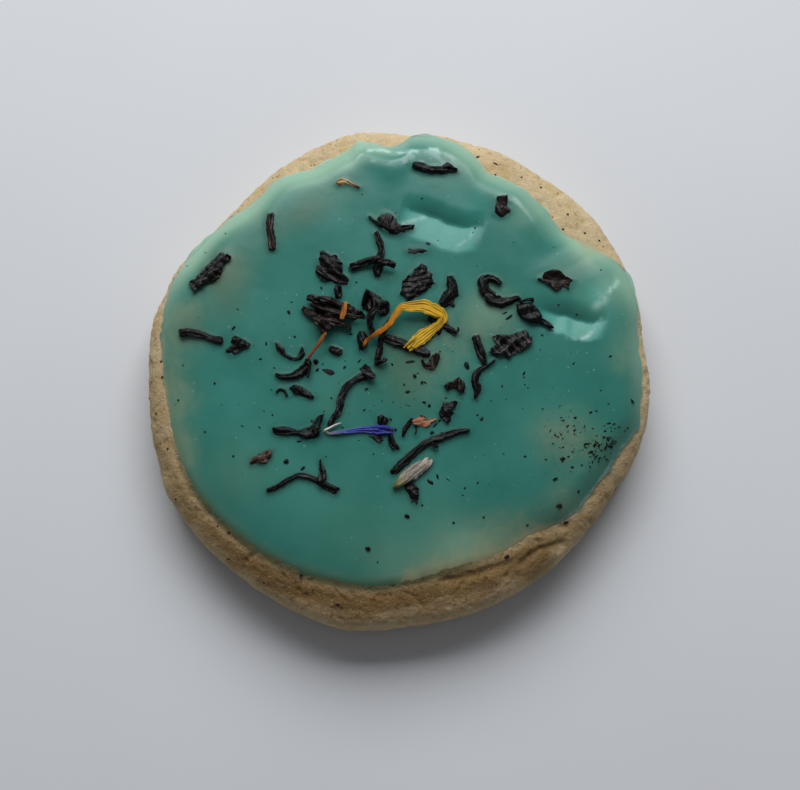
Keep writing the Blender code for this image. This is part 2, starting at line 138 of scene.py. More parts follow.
# %% Wires
class Wire:
    """One value or colour that runs between a finish's nodes."""

    def __init__(self, finish, socket):
        self.finish = finish
        self.socket = socket

    def is_vector(self):
        """Whether it carries three numbers, as a place or a colour does."""
        return self.socket.type in ("VECTOR", "RGBA")

    def combine(self, operation, *terms):
        """A Math node for numbers, and a Vector Math node for colours and vectors."""
        kind = "ShaderNodeMath"
        if any(isinstance(term, tuple) or (isinstance(term, Wire) and term.is_vector()) for term in terms):
            kind = "ShaderNodeVectorMath"
            terms = [(term, term, term) if isinstance(term, (int, float)) else term for term in terms]
        return self.finish.node(kind, {"operation": operation}, dict(enumerate(terms)))

    def __add__(self, other):
        return self.combine("ADD", self, other)

    def __radd__(self, other):
        return self.combine("ADD", other, self)

    def __sub__(self, other):
        return self.combine("SUBTRACT", self, other)

    def __rsub__(self, other):
        return self.combine("SUBTRACT", other, self)

    def __mul__(self, other):
        return self.combine("MULTIPLY", self, other)

    def __rmul__(self, other):
        return self.combine("MULTIPLY", other, self)

    def ease(self, low, high):
        """0 below low, 1 above high, and a soft S between. It falls where high is the smaller."""
        settings = {"interpolation_type": "SMOOTHSTEP", "clamp": True}
        feeds = {"Value": self, "From Min": low, "From Max": high}
        return self.finish.node("ShaderNodeMapRange", settings, feeds)

    def between(self, dark, light):
        """A colour from dark, where this is 0, to light, where it is 1."""
        feeds = {"Factor": self, 6: dark, 7: light}
        return self.finish.node("ShaderNodeMix", {"data_type": "RGBA"}, feeds, output=2)


# %% [markdown]
# ## A finish
# A second class holds one material. Every node could be made with its own lines, but one
# method that makes any node from its type, settings and feeds keeps each recipe short. What
# follows it are the textures that the cookie uses, and the sockets that they may drive.

# %% Finish
class Finish:
    """A material with one Principled shader, and a short way to add nodes to it."""

    def __init__(self, name, **constants):
        self.material = bpy.data.materials.new(name)
        self.material.use_nodes = True
        self.tree = self.material.node_tree
        self.shader = self.tree.nodes["Principled BSDF"]
        for socket, value in constants.items():
            self.shader.inputs[socket.replace("_", " ")].default_value = value

    def node(self, kind, settings=None, feeds=None, output=0):
        """Any node: its type, then its settings, then the values or wires of its sockets."""
        made = self.tree.nodes.new(kind)
        for setting, value in (settings or {}).items():
            setattr(made, setting, value)
        for socket, value in (feeds or {}).items():
            self.feed(made.inputs[socket], value)
        return Wire(self, made.outputs[output])

    def feed(self, socket, value):
        """Links a wire to a socket, or sets the socket's value."""
        if isinstance(value, Wire):
            self.tree.links.new(value.socket, socket)
        elif isinstance(value, tuple) and socket.type == "RGBA":
            socket.default_value = (*value, 1.0)
        else:
            socket.default_value = value

    def place(self):
        """Where a point is on the cookie, in millimetres."""
        return self.node("ShaderNodeTexCoord", output="Object") * (1 / MM)

    def attribute(self, name):
        """A number that the mesh carries at each point."""
        return self.node("ShaderNodeAttribute", {"attribute_name": name}, output="Fac")

    def noise(self, scale, detail=3.0, roughness=0.5, at=None, distortion=0.0):
        """Cloudy noise from 0 to 1, with scale clouds to a millimetre."""
        feeds = {"Vector": at or self.place(), "Scale": scale, "Detail": detail}
        feeds |= {"Roughness": roughness, "Distortion": distortion}
        return self.node("ShaderNodeTexNoise", None, feeds)

    def cells(self, scale, at):
        """Distance from the nearest of many scattered points."""
        return self.node("ShaderNodeTexVoronoi", None, {"Vector": at, "Scale": scale}, output="Distance")

    def fibres(self, scale, stretch=0.15):
        """Noise drawn out along a leaf, read from the leaf's own along and across marks."""
        feeds = {"X": self.attribute("along") * stretch, "Y": self.attribute("across")}
        return self.noise(scale, 3.0, 0.6, at=self.node("ShaderNodeCombineXYZ", None, feeds))

    def wear(self, colour, roughness=None, height=None, depth=0.1):
        """Sets what varies over the surface. height, of depth millimetres, becomes a bump."""
        self.feed(self.shader.inputs["Base Color"], colour)
        if roughness is not None:
            self.feed(self.shader.inputs["Roughness"], roughness)
        if height is not None:
            bump = self.node("ShaderNodeBump", None, {"Height": height, "Distance": depth * MM})
            self.feed(self.shader.inputs["Normal"], bump)
        return self.material


# %% [markdown]
# ## Floor
# The cookie lies on a plain pale table. It could be a modelled plate, but the cookie is what
# is shown, so one large square does. A very broad cloud in its colour keeps it from looking
# dead flat in tone.

# %% Floor
FLOOR_SIDE = 4.0  # metres
FLOOR_TONES = ((0.62, 0.63, 0.65), (0.68, 0.69, 0.71))


def add_mesh(name, shape):
    """Makes an object of a finished bmesh, at the origin."""
    mesh = bpy.data.meshes.new(name)
    shape.to_mesh(mesh)
    shape.free()
    return add_object(name, mesh)


def lay_floor():
    """A plain pale floor."""
    plane = bmesh.new()
    bmesh.ops.create_grid(plane, x_segments=1, y_segments=1, size=FLOOR_SIDE / 2)
    floor = add_mesh("floor", plane)
    finish = Finish("floor", Roughness=0.55)
    floor.data.materials.append(finish.wear(colour=finish.noise(0.02, 2.0).between(*FLOOR_TONES)))
    return floor


print("floor:", len(lay_floor().data.polygons), "face")

# %% [markdown]
# ## The cookie's shape rules
# Dough cut round and baked spreads unevenly. It could be sculpted, but a rule is easier to
# correct: a radius for each bearing, with a lobe where the dough spread further or less far,
# and a height for each point. Rules work on whole arrays of points at once, so a fine mesh
# costs little.

# %% Shape of the dough
BISCUIT_RADIUS = 35.6
BISCUIT_HEIGHT = 10.8
BISCUIT_WIDEST_HEIGHT = 4.5
BISCUIT_SHOULDER_POWER = 4.0
# Where the dough spread further or less far: (bearing, spread, how far out).
BISCUIT_LOBES = (
    (222, 38, 1.45), (132, 22, -1.7), (28, 30, 0.6), (100, 9, 1.0), (310, 28, -0.5), (345, 16, 0.35),
    (118, 16, 0.95), (167, 9, 0.8), (257, 10, 0.8), (66, 7, 0.5), (322, 12, -0.45), (154, 5, 0.7),
    (7, 6, -0.7), (230, 9, -0.35), (330, 7, -0.35), (80, 6, 0.5), (40, 9, 0.4), (208, 6, 0.4),
)
NEAR_LEFT = 248  # the bearing that lies deepest in the shade
NEAR_LEFT_FADE = (62, 32)  # degrees away from it where the near side ends, and where it is whole


def hump(offset, spread):
    """A smooth hump: 1 at no offset, a third of it one spread away."""
    return np.exp(-((offset / spread) ** 2))


def ramp(value, start, end):
    """A straight rise from 0 at start to 1 at end, level beyond both."""
    return np.clip((value - start) / (end - start), 0, 1)


def turn_between(bearing, middle):
    """Degrees from middle to bearing the short way round."""
    return (bearing - middle + 180) % 360 - 180


def bearing_of(x, y):
    """Degrees round the cookie, anticlockwise from its right."""
    return np.degrees(np.arctan2(y, x)) % 360


def near_side(bearing):
    """1 round the near left of the cookie, easing to 0 at its sides."""
    return ramp(np.abs(turn_between(bearing, NEAR_LEFT)), *NEAR_LEFT_FADE)


def biscuit_radius(bearing):
    """Radius of the dough at its widest height."""
    return BISCUIT_RADIUS + sum(
        out * hump(turn_between(bearing, middle), spread) for middle, spread, out in BISCUIT_LOBES
    )


def biscuit_top(x, y):
    """Height of the dough's domed top, down to its widest line."""
    share = np.minimum(1.0, np.hypot(x, y) / biscuit_radius(bearing_of(x, y)))
    shoulder = (1.0 - share**BISCUIT_SHOULDER_POWER) ** (1.0 / BISCUIT_SHOULDER_POWER)
    return BISCUIT_WIDEST_HEIGHT + (BISCUIT_HEIGHT - BISCUIT_WIDEST_HEIGHT) * shoulder


print("dough is", round(float(biscuit_top(0.0, 0.0)), 1), "mm tall at its middle")

# %% [markdown]
# ## The icing's edge
# Poured icing stops at a wandering edge. At the back it stopped crisp and thick, and at the
# front it ran out thin and soaked away. No formula gives such an edge, so it is a list of
# bearings and radii, as few as the shape needs, and a smooth curve runs through them.

# %% Edge of the icing
# The edge: (bearing, radius).
ICING_EDGE = (
    (0, 34.3), (9, 34.5), (17, 35.7), (24, 35.7), (28, 34.9), (34, 33.1), (41, 30.9), (48, 31.4),
    (56, 32.2), (62, 31.7), (67, 31.8), (71, 33.4), (74, 34.4), (78, 35.3), (83, 35.4), (87, 35.0),
    (89, 33.8), (92, 33.2), (96, 33.7), (100, 34.6), (103, 33.4), (112, 32.3), (121, 33.4), (131, 32.6),
    (138, 33.6), (150, 34.7), (159, 35.3), (166, 35.0), (174, 34.2), (187, 33.7), (211, 33.7), (224, 33.0),
    (247, 31.9), (262, 31.2), (273, 30.1), (284, 29.4), (296, 29.7), (310, 30.2), (319, 31.7), (330, 32.3),
    (340, 33.2), (347, 34.7), (354, 34.6),
)
ICING_WAVES = ((17, 0.14, 1.0), (29, 0.12, 2.2), (53, 0.09, 0.4), (89, 0.05, 3.0))  # (waves, size, start)


def catmull_rom(before, start, end, after, share):
    """A share of the way from start to end, on a smooth curve through all four."""
    straight = 2 * start + (end - before) * share
    bend = (2 * before - 5 * start + 4 * end - after) * share**2
    twist = (3 * start - before - 3 * end + after) * share**3
    return (straight + bend + twist) / 2


def icing_radius(bearing):
    """Radius of the icing's edge, read smoothly between the points of ICING_EDGE."""
    bearings, radii = np.array(ICING_EDGE, float).T
    bearing = np.asarray(bearing) % 360
    first = np.searchsorted(bearings, bearing, side="right") - 1
    following = (first + 1) % len(radii)
    beyond = (first + 2) % len(radii)
    share = (bearing - bearings[first]) / ((bearings[following] - bearings[first]) % 360)
    return catmull_rom(radii[first - 1], radii[first], radii[following], radii[beyond], share)


def icing_reach(bearing):
    """Radius of the icing's edge with its small unevenness."""
    waves = sum(size * np.sin(np.radians(bearing) * count + start) for count, size, start in ICING_WAVES)
    return icing_radius(bearing) + waves


print("icing reaches", round(float(icing_radius(80.0)), 1), "mm at the back")

# %% [markdown]
# ## Folds in the icing
# Icing that is nudged while it sets keeps two creased hollows. Each could be cut with a
# sculpting brush, but a rule places it exactly: a V-shaped valley along a bowed line, with a
# steep wall on the far side and a gentle one on the near side, both easing out into the level
# icing. The valley fades at its ends.

# %% Folds
# (depth, middle x, y, heading, half length, far wall's width, near wall's width, bow)
ICING_FOLDS = (
    (1.0, 6.0, 21.3, -17, 6.2, 2.6, 4.2, 0.7),
    (1.05, 24.1, 7.1, -12, 5.2, 2.7, 3.0, 0.9),
)
FOLD_ROUNDING = 0.07  # how round the crease is at its bottom
FOLD_SWAY = 0.22  # how far the crease sways from its line
FOLD_RIPPLE = 0.06  # and how far it ripples
FOLD_ENDS = 0.9  # how bluntly a fold fades at its ends
FOLD_FAR_HOLLOW = 1.7  # how hollow the walls are; 1 is a straight slope
FOLD_NEAR_HOLLOW = 1.3
LIT_WALL_EDGE = 0.12  # share of a near wall over which its light fades out at the top
LIT_WALL_ENDS = 0.35  # and at its ends


def fold_place(x, y, middle_x, middle_y, heading, half_length, far, near, bow):
    """Where a point is in a fold: how far down its wall, how near its middle, and if on the near wall."""
    ahead_x, ahead_y = math.cos(math.radians(heading)), math.sin(math.radians(heading))
    along = ((x - middle_x) * ahead_x + (y - middle_y) * ahead_y) / half_length
    across = (y - middle_y) * ahead_x - (x - middle_x) * ahead_y
    sway = FOLD_SWAY * np.sin(along * 5.0 + middle_x) + FOLD_RIPPLE * np.sin(along * 14.0)
    across = across - bow * along**2 + sway
    reach = np.sqrt(across**2 + FOLD_ROUNDING**2) / np.where(across > 0, far, near)
    return np.clip(1 - reach, 0, 1), np.clip(1 - along**2, 0, 1), across < 0


def icing_fold(x, y):
    """How far the folds sink the icing at a point."""
    sunk = np.zeros_like(x)
    for depth, *line in ICING_FOLDS:
        wall, run, is_near = fold_place(x, y, *line)
        sunk += depth * run**FOLD_ENDS * wall ** np.where(is_near, FOLD_NEAR_HOLLOW, FOLD_FAR_HOLLOW)
    return sunk


def lit_walls(x, y):
    """1 on the near walls of the folds, which lean towards the window."""
    lit = np.zeros_like(x)
    for _, *line in ICING_FOLDS:
        wall, run, is_near = fold_place(x, y, *line)
        lit = np.maximum(lit, is_near * ramp(wall, 0, LIT_WALL_EDGE) * ramp(run, 0, LIT_WALL_ENDS))
    return lit


deepest = [round(float(icing_fold(np.array(fold[1]), np.array(fold[2]))), 2) for fold in ICING_FOLDS]
print("folds sink", deepest, "mm at their middles")

# %% [markdown]
# ## The icing's height
# Icing follows the dough, swells a little, and rolls over where it stops. Its thickness
# could come from a Solidify modifier, but that gives one thickness everywhere. A rule can
# make a thick rolled lip at the back, a bead behind it, and a thin edge at the front.

# %% Height of the icing
SOLID_GAP = 0.3  # the solids keep this gap between pieces that really touch
ICING_THICKNESS = 1.5
ICING_CRISP_ROLL = 3.4  # how far in from a crisp edge the icing reaches its full thickness
ICING_SOFT_ROLL = 1.4  # how far in a soft edge has its small lip
ICING_SOFT_LIP = 0.06  # and that lip's share of the thickness
ICING_SOFT_THIN = 11.0  # how far in a soft edge reaches the rest
ICING_CRISP_RIM = 0.25  # height of the very edge above the dough
ICING_SOFT_RIM = -0.22  # a soft edge dips under the dough's grain
ICING_HELD = 0.975  # share of the dough's radius past which the icing hangs level over the side
ICING_SWELL = 0.10  # height of the poured surface's slow unevenness
ICING_FINE_SWELL = 0.06  # and of its quicker one
# 1 where the icing stopped as a thick rolled edge, 0 where it soaked away thin: (bearing, crispness).
ICING_CRISPNESS = (
    (0, 1.0), (20, 1.0), (26, 0.7), (31, 0.25), (37, 0.3), (42, 0.7), (48, 1.0), (93, 1.0), (103, 0.9),
    (120, 0.85), (150, 0.85), (165, 0.6), (185, 0.10), (205, 0.0), (302, 0.0), (314, 0.35), (326, 0.6),
    (342, 0.9), (360, 1.0),
)
# The raised bead behind a crisp edge.
ICING_BEAD = 0.45
ICING_BEAD_INSET = 3.2
ICING_BEAD_SPREAD = 2.1
ICING_BEAD_WANDER = 0.7  # how far the bead strays from its inset
ICING_BEAD_STRENGTH = (
    (0, 0.6), (20, 0.7), (28, 0.2), (38, 0.2), (46, 0.55), (68, 0.7), (80, 1.0), (92, 1.0), (100, 0.5),
    (112, 0.15), (165, 0.1), (180, 0.0), (300, 0.0), (330, 0.3), (360, 0.6),
)


def icing_crispness(bearing):
    """How crisply the icing stopped at a bearing."""
    return np.interp(bearing, *zip(*ICING_CRISPNESS))


def icing_swell(x, y):
    """The unevenness of a poured surface."""
    slow = ICING_SWELL * np.sin(x / 6.1 + 0.8) * np.cos(y / 7.3 - 0.4)
    return slow + ICING_FINE_SWELL * np.sin((x + y) / 3.7)


def round_over(inset, width):
    """From 0 at an edge to 1 once width inside it, level at its inner end."""
    share = np.minimum(1.0, inset / width)
    return share * (2 - share)


def icing_bead(bearing, inset):
    """Height of the bead behind the edge, which swells and strays round the cookie."""
    turn = np.radians(bearing)
    strength = np.interp(bearing, *zip(*ICING_BEAD_STRENGTH)) * (0.75 + 0.25 * np.sin(7 * turn + 2.0))
    stray = ICING_BEAD_WANDER * np.sin(5 * turn + 0.5)
    return ICING_BEAD * strength * hump(inset - ICING_BEAD_INSET - stray, ICING_BEAD_SPREAD)


def icing_lift(x, y):
    """Height of the icing's top above the dough, at a point inside its edge."""
    bearing = bearing_of(x, y)
    inset = np.maximum(0.0, icing_radius(bearing) - np.hypot(x, y))
    crisp = icing_crispness(bearing)
    crisp_share = round_over(inset, ICING_CRISP_ROLL)
    lip, thinned = round_over(inset, ICING_SOFT_ROLL), round_over(inset, ICING_SOFT_THIN)
    soft_share = ICING_SOFT_LIP * lip + (1 - ICING_SOFT_LIP) * thinned
    share = soft_share + (crisp_share - soft_share) * crisp
    rim = ICING_SOFT_RIM + (ICING_CRISP_RIM - ICING_SOFT_RIM) * crisp
    full = SOLID_GAP + ICING_THICKNESS + icing_bead(bearing, inset) + icing_swell(x, y) - icing_fold(x, y)
    return rim + (full - rim) * share


def icing_floor(x, y):
    """Where the icing's underside lies. It may hang over the shoulder, but not down the side."""
    reach = np.maximum(1e-6, np.hypot(x, y))
    held = np.minimum(1.0, ICING_HELD * biscuit_radius(bearing_of(x, y)) / reach)
    return biscuit_top(x * held, y * held)


def icing_top(x, y):
    """Where the icing's top lies."""
    return icing_floor(x, y) + icing_lift(x, y)


print("icing at the middle tops out at", round(float(icing_top(np.array(0.0), np.array(0.0))), 2), "mm")

# %% [markdown]
# ## Reshaping a ball
# Every piece of this cookie is one closed body without a hole, so each can start as a ball
# and have its points moved by a rule. A grid could be bent over the dough too, but it has an
# open rim to close. A ball has no seam and no loose end, its faces point outwards, and they
# still do when it is flattened, stretched or bent.

# %% Reshaped ball
def points_of(piece):
    """The piece's points in millimetres, as an array."""
    points = np.empty(len(piece.data.vertices) * 3)
    piece.data.vertices.foreach_get("co", points)
    return points.reshape(-1, 3) / MM


def move_points(piece, points):
    """Puts the piece's points where an array of millimetres says."""
    piece.data.vertices.foreach_set("co", (np.asarray(points) * MM).ravel())
    piece.data.update()


def carry(piece, name, values):
    """Stores a number at each point of a piece, for its material to read."""
    layer = piece.data.attributes.get(name) or piece.data.attributes.new(name, "FLOAT", "POINT")
    layer.data.foreach_set("value", np.asarray(values, np.float32))


def carried(piece, name):
    """The numbers that a piece carries, as an array."""
    values = np.empty(len(piece.data.vertices), np.float32)
    piece.data.attributes[name].data.foreach_get("value", values)
    return values


def reshaped_ball(name, segments, rings, place, cuts=0):
    """A ball whose points are moved by place(turn, drop), in millimetres.

    turn is the angle round the ball's axis and drop runs from 0 at the top pole to 1 at the
    bottom one, each an array with a number for every point. cuts splits every face further,
    which is quicker than starting with a finer ball. After x, y and z, place may return
    marks: numbers that the piece then carries at each point for its material.
    """
    ball = bmesh.new()
    bmesh.ops.create_uvsphere(ball, u_segments=segments, v_segments=rings, radius=1.0)
    if cuts:
        bmesh.ops.subdivide_edges(ball, edges=ball.edges[:], cuts=cuts, use_grid_fill=True)
    piece = add_mesh(name, ball)
    x, y, z = (points_of(piece) * MM).T
    turn = np.arctan2(y, x)
    drop = np.arccos(z / np.sqrt(x**2 + y**2 + z**2)) / np.pi
    x, y, z, *marks = place(turn, drop)
    move_points(piece, np.stack((x, y, z), axis=1))
    for mark in marks:
        for key, values in mark.items():
            carry(piece, key, values)
    piece.data.shade_smooth()
    return piece


# %% [markdown]
# ## Noise, lines and patches
# Three helpers mark a surface. Noise gives it grain. Lines follow short paths, as cracks and
# glints do. Patches are soft spots, as toasting and stains are. They could be painted on by
# hand, but numbers in millimetres stay sharp at any size and are easy to correct.

# %% Noise, lines and patches
def grain(x, y, z, scale, seed=0.0):
    """Smooth noise at each point, from about -1 to 1, with scale bumps to a millimetre."""
    points = zip(x * scale + seed, y * scale, z * scale)
    return np.array([noise.noise(Vector(point)) for point in points])


def lines(x, y, table):
    """How strongly a point is marked by the lines of a table: (path, width, strength)."""
    marked = np.zeros_like(x)
    for path, width, strength in table:
        for (start_x, start_y), (end_x, end_y) in zip(path, path[1:]):
            run_x, run_y = end_x - start_x, end_y - start_y
            share = ((x - start_x) * run_x + (y - start_y) * run_y) / (run_x**2 + run_y**2)
            share = np.clip(share, 0, 1)
            away = np.hypot(x - start_x - share * run_x, y - start_y - share * run_y)
            marked = np.maximum(marked, strength * hump(away, width))
    return marked


def patches(x, y, table):
    """How strongly a point is marked by the soft patches of a table: (x, y, radius, strength)."""
    return sum(strength * hump(np.hypot(x - px, y - py), radius) for px, py, radius, strength in table)


# %% [markdown]
# ## The dough
# A sugar cookie's dough is sandy: fine grains and shallow pits all over, a few hairline
# cracks, and a fold on the near right where the cutter dragged it. A bump map could fake the
# grain, but light from one side shows it along the shoulder, so it has to be in the mesh.
# Only the shoulder and side are seen, so most of the rings are spent there.

# %% Dough relief
DOUGH_DRAG = 0.55  # the cutter drags the grain down the side, so it is this much finer across than down
# Coarse unevenness, lumps and sand: (bumps to a millimetre, noise seed, size).
DOUGH_BUMPS = ((0.28, 3.0, 0.15), (0.8, 7.0, 0.14), (2.0, 11.0, 0.08))
DOUGH_PIT_DEPTH = 0.70
DOUGH_PIT_RARITY = 0.26  # how strong the noise must be before it is a pit
# The cutter's fold and the hairline cracks: (path, width, depth).
DOUGH_CREASES = (
    (((22.8, -24.5), (20.4, -25.2), (18.2, -26.2), (17.0, -27.4)), 0.55, 0.55),
    (((15.0, -27.4), (12.2, -28.4), (10.1, -29.1), (6.1, -29.9)), 0.6, 0.5),
    (((-13.5, -29.0), (-13.8, -30.4), (-14.4, -32.0)), 0.28, 0.3),
    (((29.6, -15.2), (30.8, -16.2)), 0.8, 0.3),
    (((-20.3, -26.0), (-21.4, -26.7), (-21.9, -28.0)), 0.22, 0.35),
    (((-26.2, -20.4), (-27.6, -20.9)), 0.22, 0.3), (((-9.0, -31.0), (-7.9, -32.2)), 0.2, 0.3),
    (((0.8, -31.4), (2.2, -32.0), (3.0, -33.2)), 0.2, 0.3), (((9.0, -29.6), (8.2, -31.0)), 0.25, 0.35),
    (((15.6, -27.6), (14.8, -29.2)), 0.22, 0.3),
)
DOUGH_CREASES_ABOVE = 4.0


def dough_relief(x, y, z):
    """How far the surface stands out from the smooth dough, in millimetres."""
    z = z * DOUGH_DRAG
    bumps = sum(size * grain(x, y, z, scale, seed) for scale, seed, size in DOUGH_BUMPS)
    return bumps - DOUGH_PIT_DEPTH * np.clip(grain(x, y, z, 1.1, 17.0) - DOUGH_PIT_RARITY, 0, 1)


print("creases in the dough:", len(DOUGH_CREASES))

# %% Dough mesh
BISCUIT_SEGMENTS = 175
BISCUIT_RINGS = 32
BISCUIT_FOOT_INSET = 2.3
BISCUIT_FOOT_ROUNDING = 5
BISCUIT_SIDE_FULLNESS = 1.15
BISCUIT_FINE_FROM = 0.72  # share of the radius where the fine rings begin
# Shares of the ball's drop where the fine rings, the side and the base begin.
FINE_DROP, SIDE_DROP, BASE_DROP = 0.08, 0.62, 0.92
BISCUIT_BARE_DROP = 0.07  # no grain is needed within this drop of the poles, which never show
BISCUIT_FLAT_FOOT = 0.6  # below this height the grain fades, so that the cookie stands flat


def biscuit_crown(drop, radius):
    """How far out a point of the top is. The height follows from it."""
    plain = np.interp(drop, (0.0, FINE_DROP), (0.0, BISCUIT_FINE_FROM))
    fine = BISCUIT_FINE_FROM + (1 - BISCUIT_FINE_FROM) * np.sin(ramp(drop, FINE_DROP, SIDE_DROP) * np.pi / 2)
    return radius * np.where(drop > FINE_DROP, fine, plain)


def biscuit_side(drop, radius):
    """How far out and how high a point below the widest line is: the side tucks in to a flat base."""
    fall = ramp(drop, SIDE_DROP, BASE_DROP)
    z = BISCUIT_WIDEST_HEIGHT * (1 - np.sin(fall * np.pi / 2) ** BISCUIT_SIDE_FULLNESS)
    low = 1 - z / BISCUIT_WIDEST_HEIGHT
    tuck = BISCUIT_FOOT_INSET * (1 - np.sqrt(np.clip(1 - low**BISCUIT_FOOT_ROUNDING, 0, 1)))
    return (radius - tuck) * (1 - ramp(drop, BASE_DROP, 1)), z


def biscuit_place(turn, drop):
    """Where a point of the dough goes, with the grain of its crumb."""
    radius = biscuit_radius(np.degrees(turn) % 360)
    is_upper = drop < SIDE_DROP
    side_reach, side_z = biscuit_side(drop, radius)
    reach = np.where(is_upper, biscuit_crown(drop, radius), side_reach)
    x, y = reach * np.cos(turn), reach * np.sin(turn)
    z = np.where(is_upper, biscuit_top(x, y), side_z)
    shown = np.abs(drop - 0.5) < 0.5 - BISCUIT_BARE_DROP
    out = np.zeros_like(x)
    out[shown] = dough_relief(x[shown], y[shown], z[shown])
    out -= np.where(shown, lines(x, y, DOUGH_CREASES) * (z > DOUGH_CREASES_ABOVE), 0)
    # Grain stands out along the slope: outwards on the side, upwards on the top.
    lean = ramp(z, BISCUIT_WIDEST_HEIGHT, BISCUIT_HEIGHT) ** 2
    sideways = out * (1 - lean) * ramp(z, 0, BISCUIT_FLAT_FOOT)
    return x + sideways * np.cos(turn), y + sideways * np.sin(turn), np.maximum(z + out * lean, 0)


biscuit = reshaped_ball("biscuit_crumb", BISCUIT_SEGMENTS, BISCUIT_RINGS, biscuit_place, cuts=3)
print("dough mesh:", len(biscuit.data.polygons), "faces")

# %% [markdown]
# ## The dough's finish
# Pale buff on the far side, toasted brown round the near side, with sandy mottling, flecks
# of ground tea and a green-brown stain where the icing soaked in. All of it is matt. Cloudy
# noise gives the mottling, and marks on the mesh say where it is toasted, soaked or stained,
# where painted shade darkens it and where painted light pales its foot, because those follow
# the cookie's own shape.

# %% Dough finish
DOUGH_PALE = (0.60, 0.47, 0.28)
DOUGH_TOASTED = (0.36, 0.235, 0.115)
DOUGH_SUGAR = (0.70, 0.60, 0.40)
DOUGH_TEA_STAIN = (0.100, 0.092, 0.040)
# What ochre clouds, soaked dough with its painted shade, and pits do to the colour under them.
OCHRE_TINT = (0.90, 0.85, 0.68)
SOAK_AND_SHADE_TINT = (0.50, 0.44, 0.32)
PIT_TINT = (0.56, 0.45, 0.32)


def dough_finish():
    """Matt dough: each step lays one more colour over the last."""
    finish = Finish("baked_dough", Roughness=0.85, Specular_IOR_Level=0.22)
    at = finish.place() * (1.0, 1.0, DOUGH_DRAG)
    clouds = finish.noise(0.16, 4.0, at=at)
    # Toasting, which painted light bounced from the table takes away towards the foot.
    toast_less_foot_light = finish.attribute("toast_less_foot_light") + (clouds - 0.5) * 0.8
    colour = toast_less_foot_light.ease(0.0, 1.0).between(DOUGH_PALE, DOUGH_TOASTED)
    ochre = finish.noise(0.42, 4.0, 0.6, at=at).ease(0.46, 0.66) * 0.75
    colour = ochre.between(colour, colour * OCHRE_TINT)
    # Soaked dough and painted shade darken it.
    soak_and_shade = finish.attribute("soak_and_shade") * (0.55 + 0.9 * finish.noise(0.5, 3.0, 0.6, at=at))
    colour = soak_and_shade.ease(0.0, 1.0).between(colour, colour * SOAK_AND_SHADE_TINT)
    pit = finish.noise(1.1, 4.0, 0.65, at=at, distortion=0.6).ease(0.55, 0.68)
    colour = (pit * (toast_less_foot_light.ease(0.0, 0.8) * 0.6 + 0.3)).between(colour, colour * PIT_TINT)
    sugar = finish.cells(1.9, at).ease(0.22, 0.08) * finish.noise(0.7, 1.0, at=at).ease(0.45, 0.6)
    colour = (sugar * 0.55).between(colour, DOUGH_SUGAR)
    colour = colour * (0.76 + 0.50 * finish.noise(1.5, 5.0, 0.7, at=at))
    stain = finish.attribute("stain") * (0.6 + 0.8 * clouds)
    colour = stain.ease(0.05, 0.95).between(colour, DOUGH_TEA_STAIN)
    return finish.wear(colour, height=finish.noise(2.6, 5.0, 0.7, at=at), depth=0.24)


# %% [markdown]
# The dough is toasted most at the near left. Towards its foot, painted light bounced up from
# the table takes the toasting away. It is soaked and darkened with painted shade in a ring
# outside the icing, and stained right under the icing's edge.

# %% Toasting the dough
TOAST_EVERYWHERE = 0.22
TOAST_MOST = 0.55  # how much more it is toasted at the middle of the toasted side
TOAST_MIDDLE, TOAST_SPREAD = 262, 75  # bearings
PAINTED_FOOT_LIGHT_HEIGHTS = (8.8, 7.2)  # heights between which painted light from the table takes the toasting away
PAINTED_FOOT_LIGHT = 0.55  # how much toasting that painted light takes away
STAIN_INSET, STAIN_WIDTH = 0.3, 0.8
# A darker ring just outside the icing round the near side: soaked dough, and painted shade.
SOAK_AND_SHADE_INSET, SOAK_AND_SHADE_WIDTH = -1.9, 1.5
SOAK_AND_SHADE_MIDDLE, SOAK_AND_SHADE_SPREAD = 258, 78  # bearings
# Dough darkened further: painted shade in the cutter's fold and creases, and dough soaked by the thin icing:
# (x, y, radius, strength).
DOUGH_SOAK_AND_SHADE_PATCHES = (
    (18.5, -27.2, 2.8, 0.9), (12.0, -28.8, 1.8, 0.6), (8.5, -30.0, 2.0, 0.5), (-17.0, -29.5, 2.5, 0.4),
)


def paint_dough():
    """Marks the dough's toasting and stain, where icing seeped into it and painted shade darkens it, and
    where painted light pales its foot.
    """
    x, y, z = points_of(biscuit).T
    bearing = bearing_of(x, y)
    inset = icing_radius(bearing) - np.hypot(x, y)
    toasted_less_foot_light = hump(turn_between(bearing, TOAST_MIDDLE), TOAST_SPREAD)
    # Painted light bounced from the table takes the toasting away towards the foot.
    toasted_less_foot_light = toasted_less_foot_light * (TOAST_MOST - PAINTED_FOOT_LIGHT * ramp(z, *PAINTED_FOOT_LIGHT_HEIGHTS))
    carry(biscuit, "toast_less_foot_light", np.clip(TOAST_EVERYWHERE + toasted_less_foot_light, 0, 1))
    carry(biscuit, "stain", near_side(bearing) * hump(inset - STAIN_INSET, STAIN_WIDTH))
    # Soaked dough and painted shade: a darker ring outside the icing, and darker patches on the creases.
    soak_and_shade = hump(inset - SOAK_AND_SHADE_INSET, SOAK_AND_SHADE_WIDTH) * hump(turn_between(bearing, SOAK_AND_SHADE_MIDDLE), SOAK_AND_SHADE_SPREAD)
    carry(biscuit, "soak_and_shade", np.clip(soak_and_shade + patches(x, y, DOUGH_SOAK_AND_SHADE_PATCHES), 0, 1.2))


def dress(piece, material, node=None):
    """Gives a piece its material and slot, and the place of its solid, and fixes it to the cookie."""
    piece.data.materials.append(material)
    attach(piece, "root")
    if node:
        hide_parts(node)


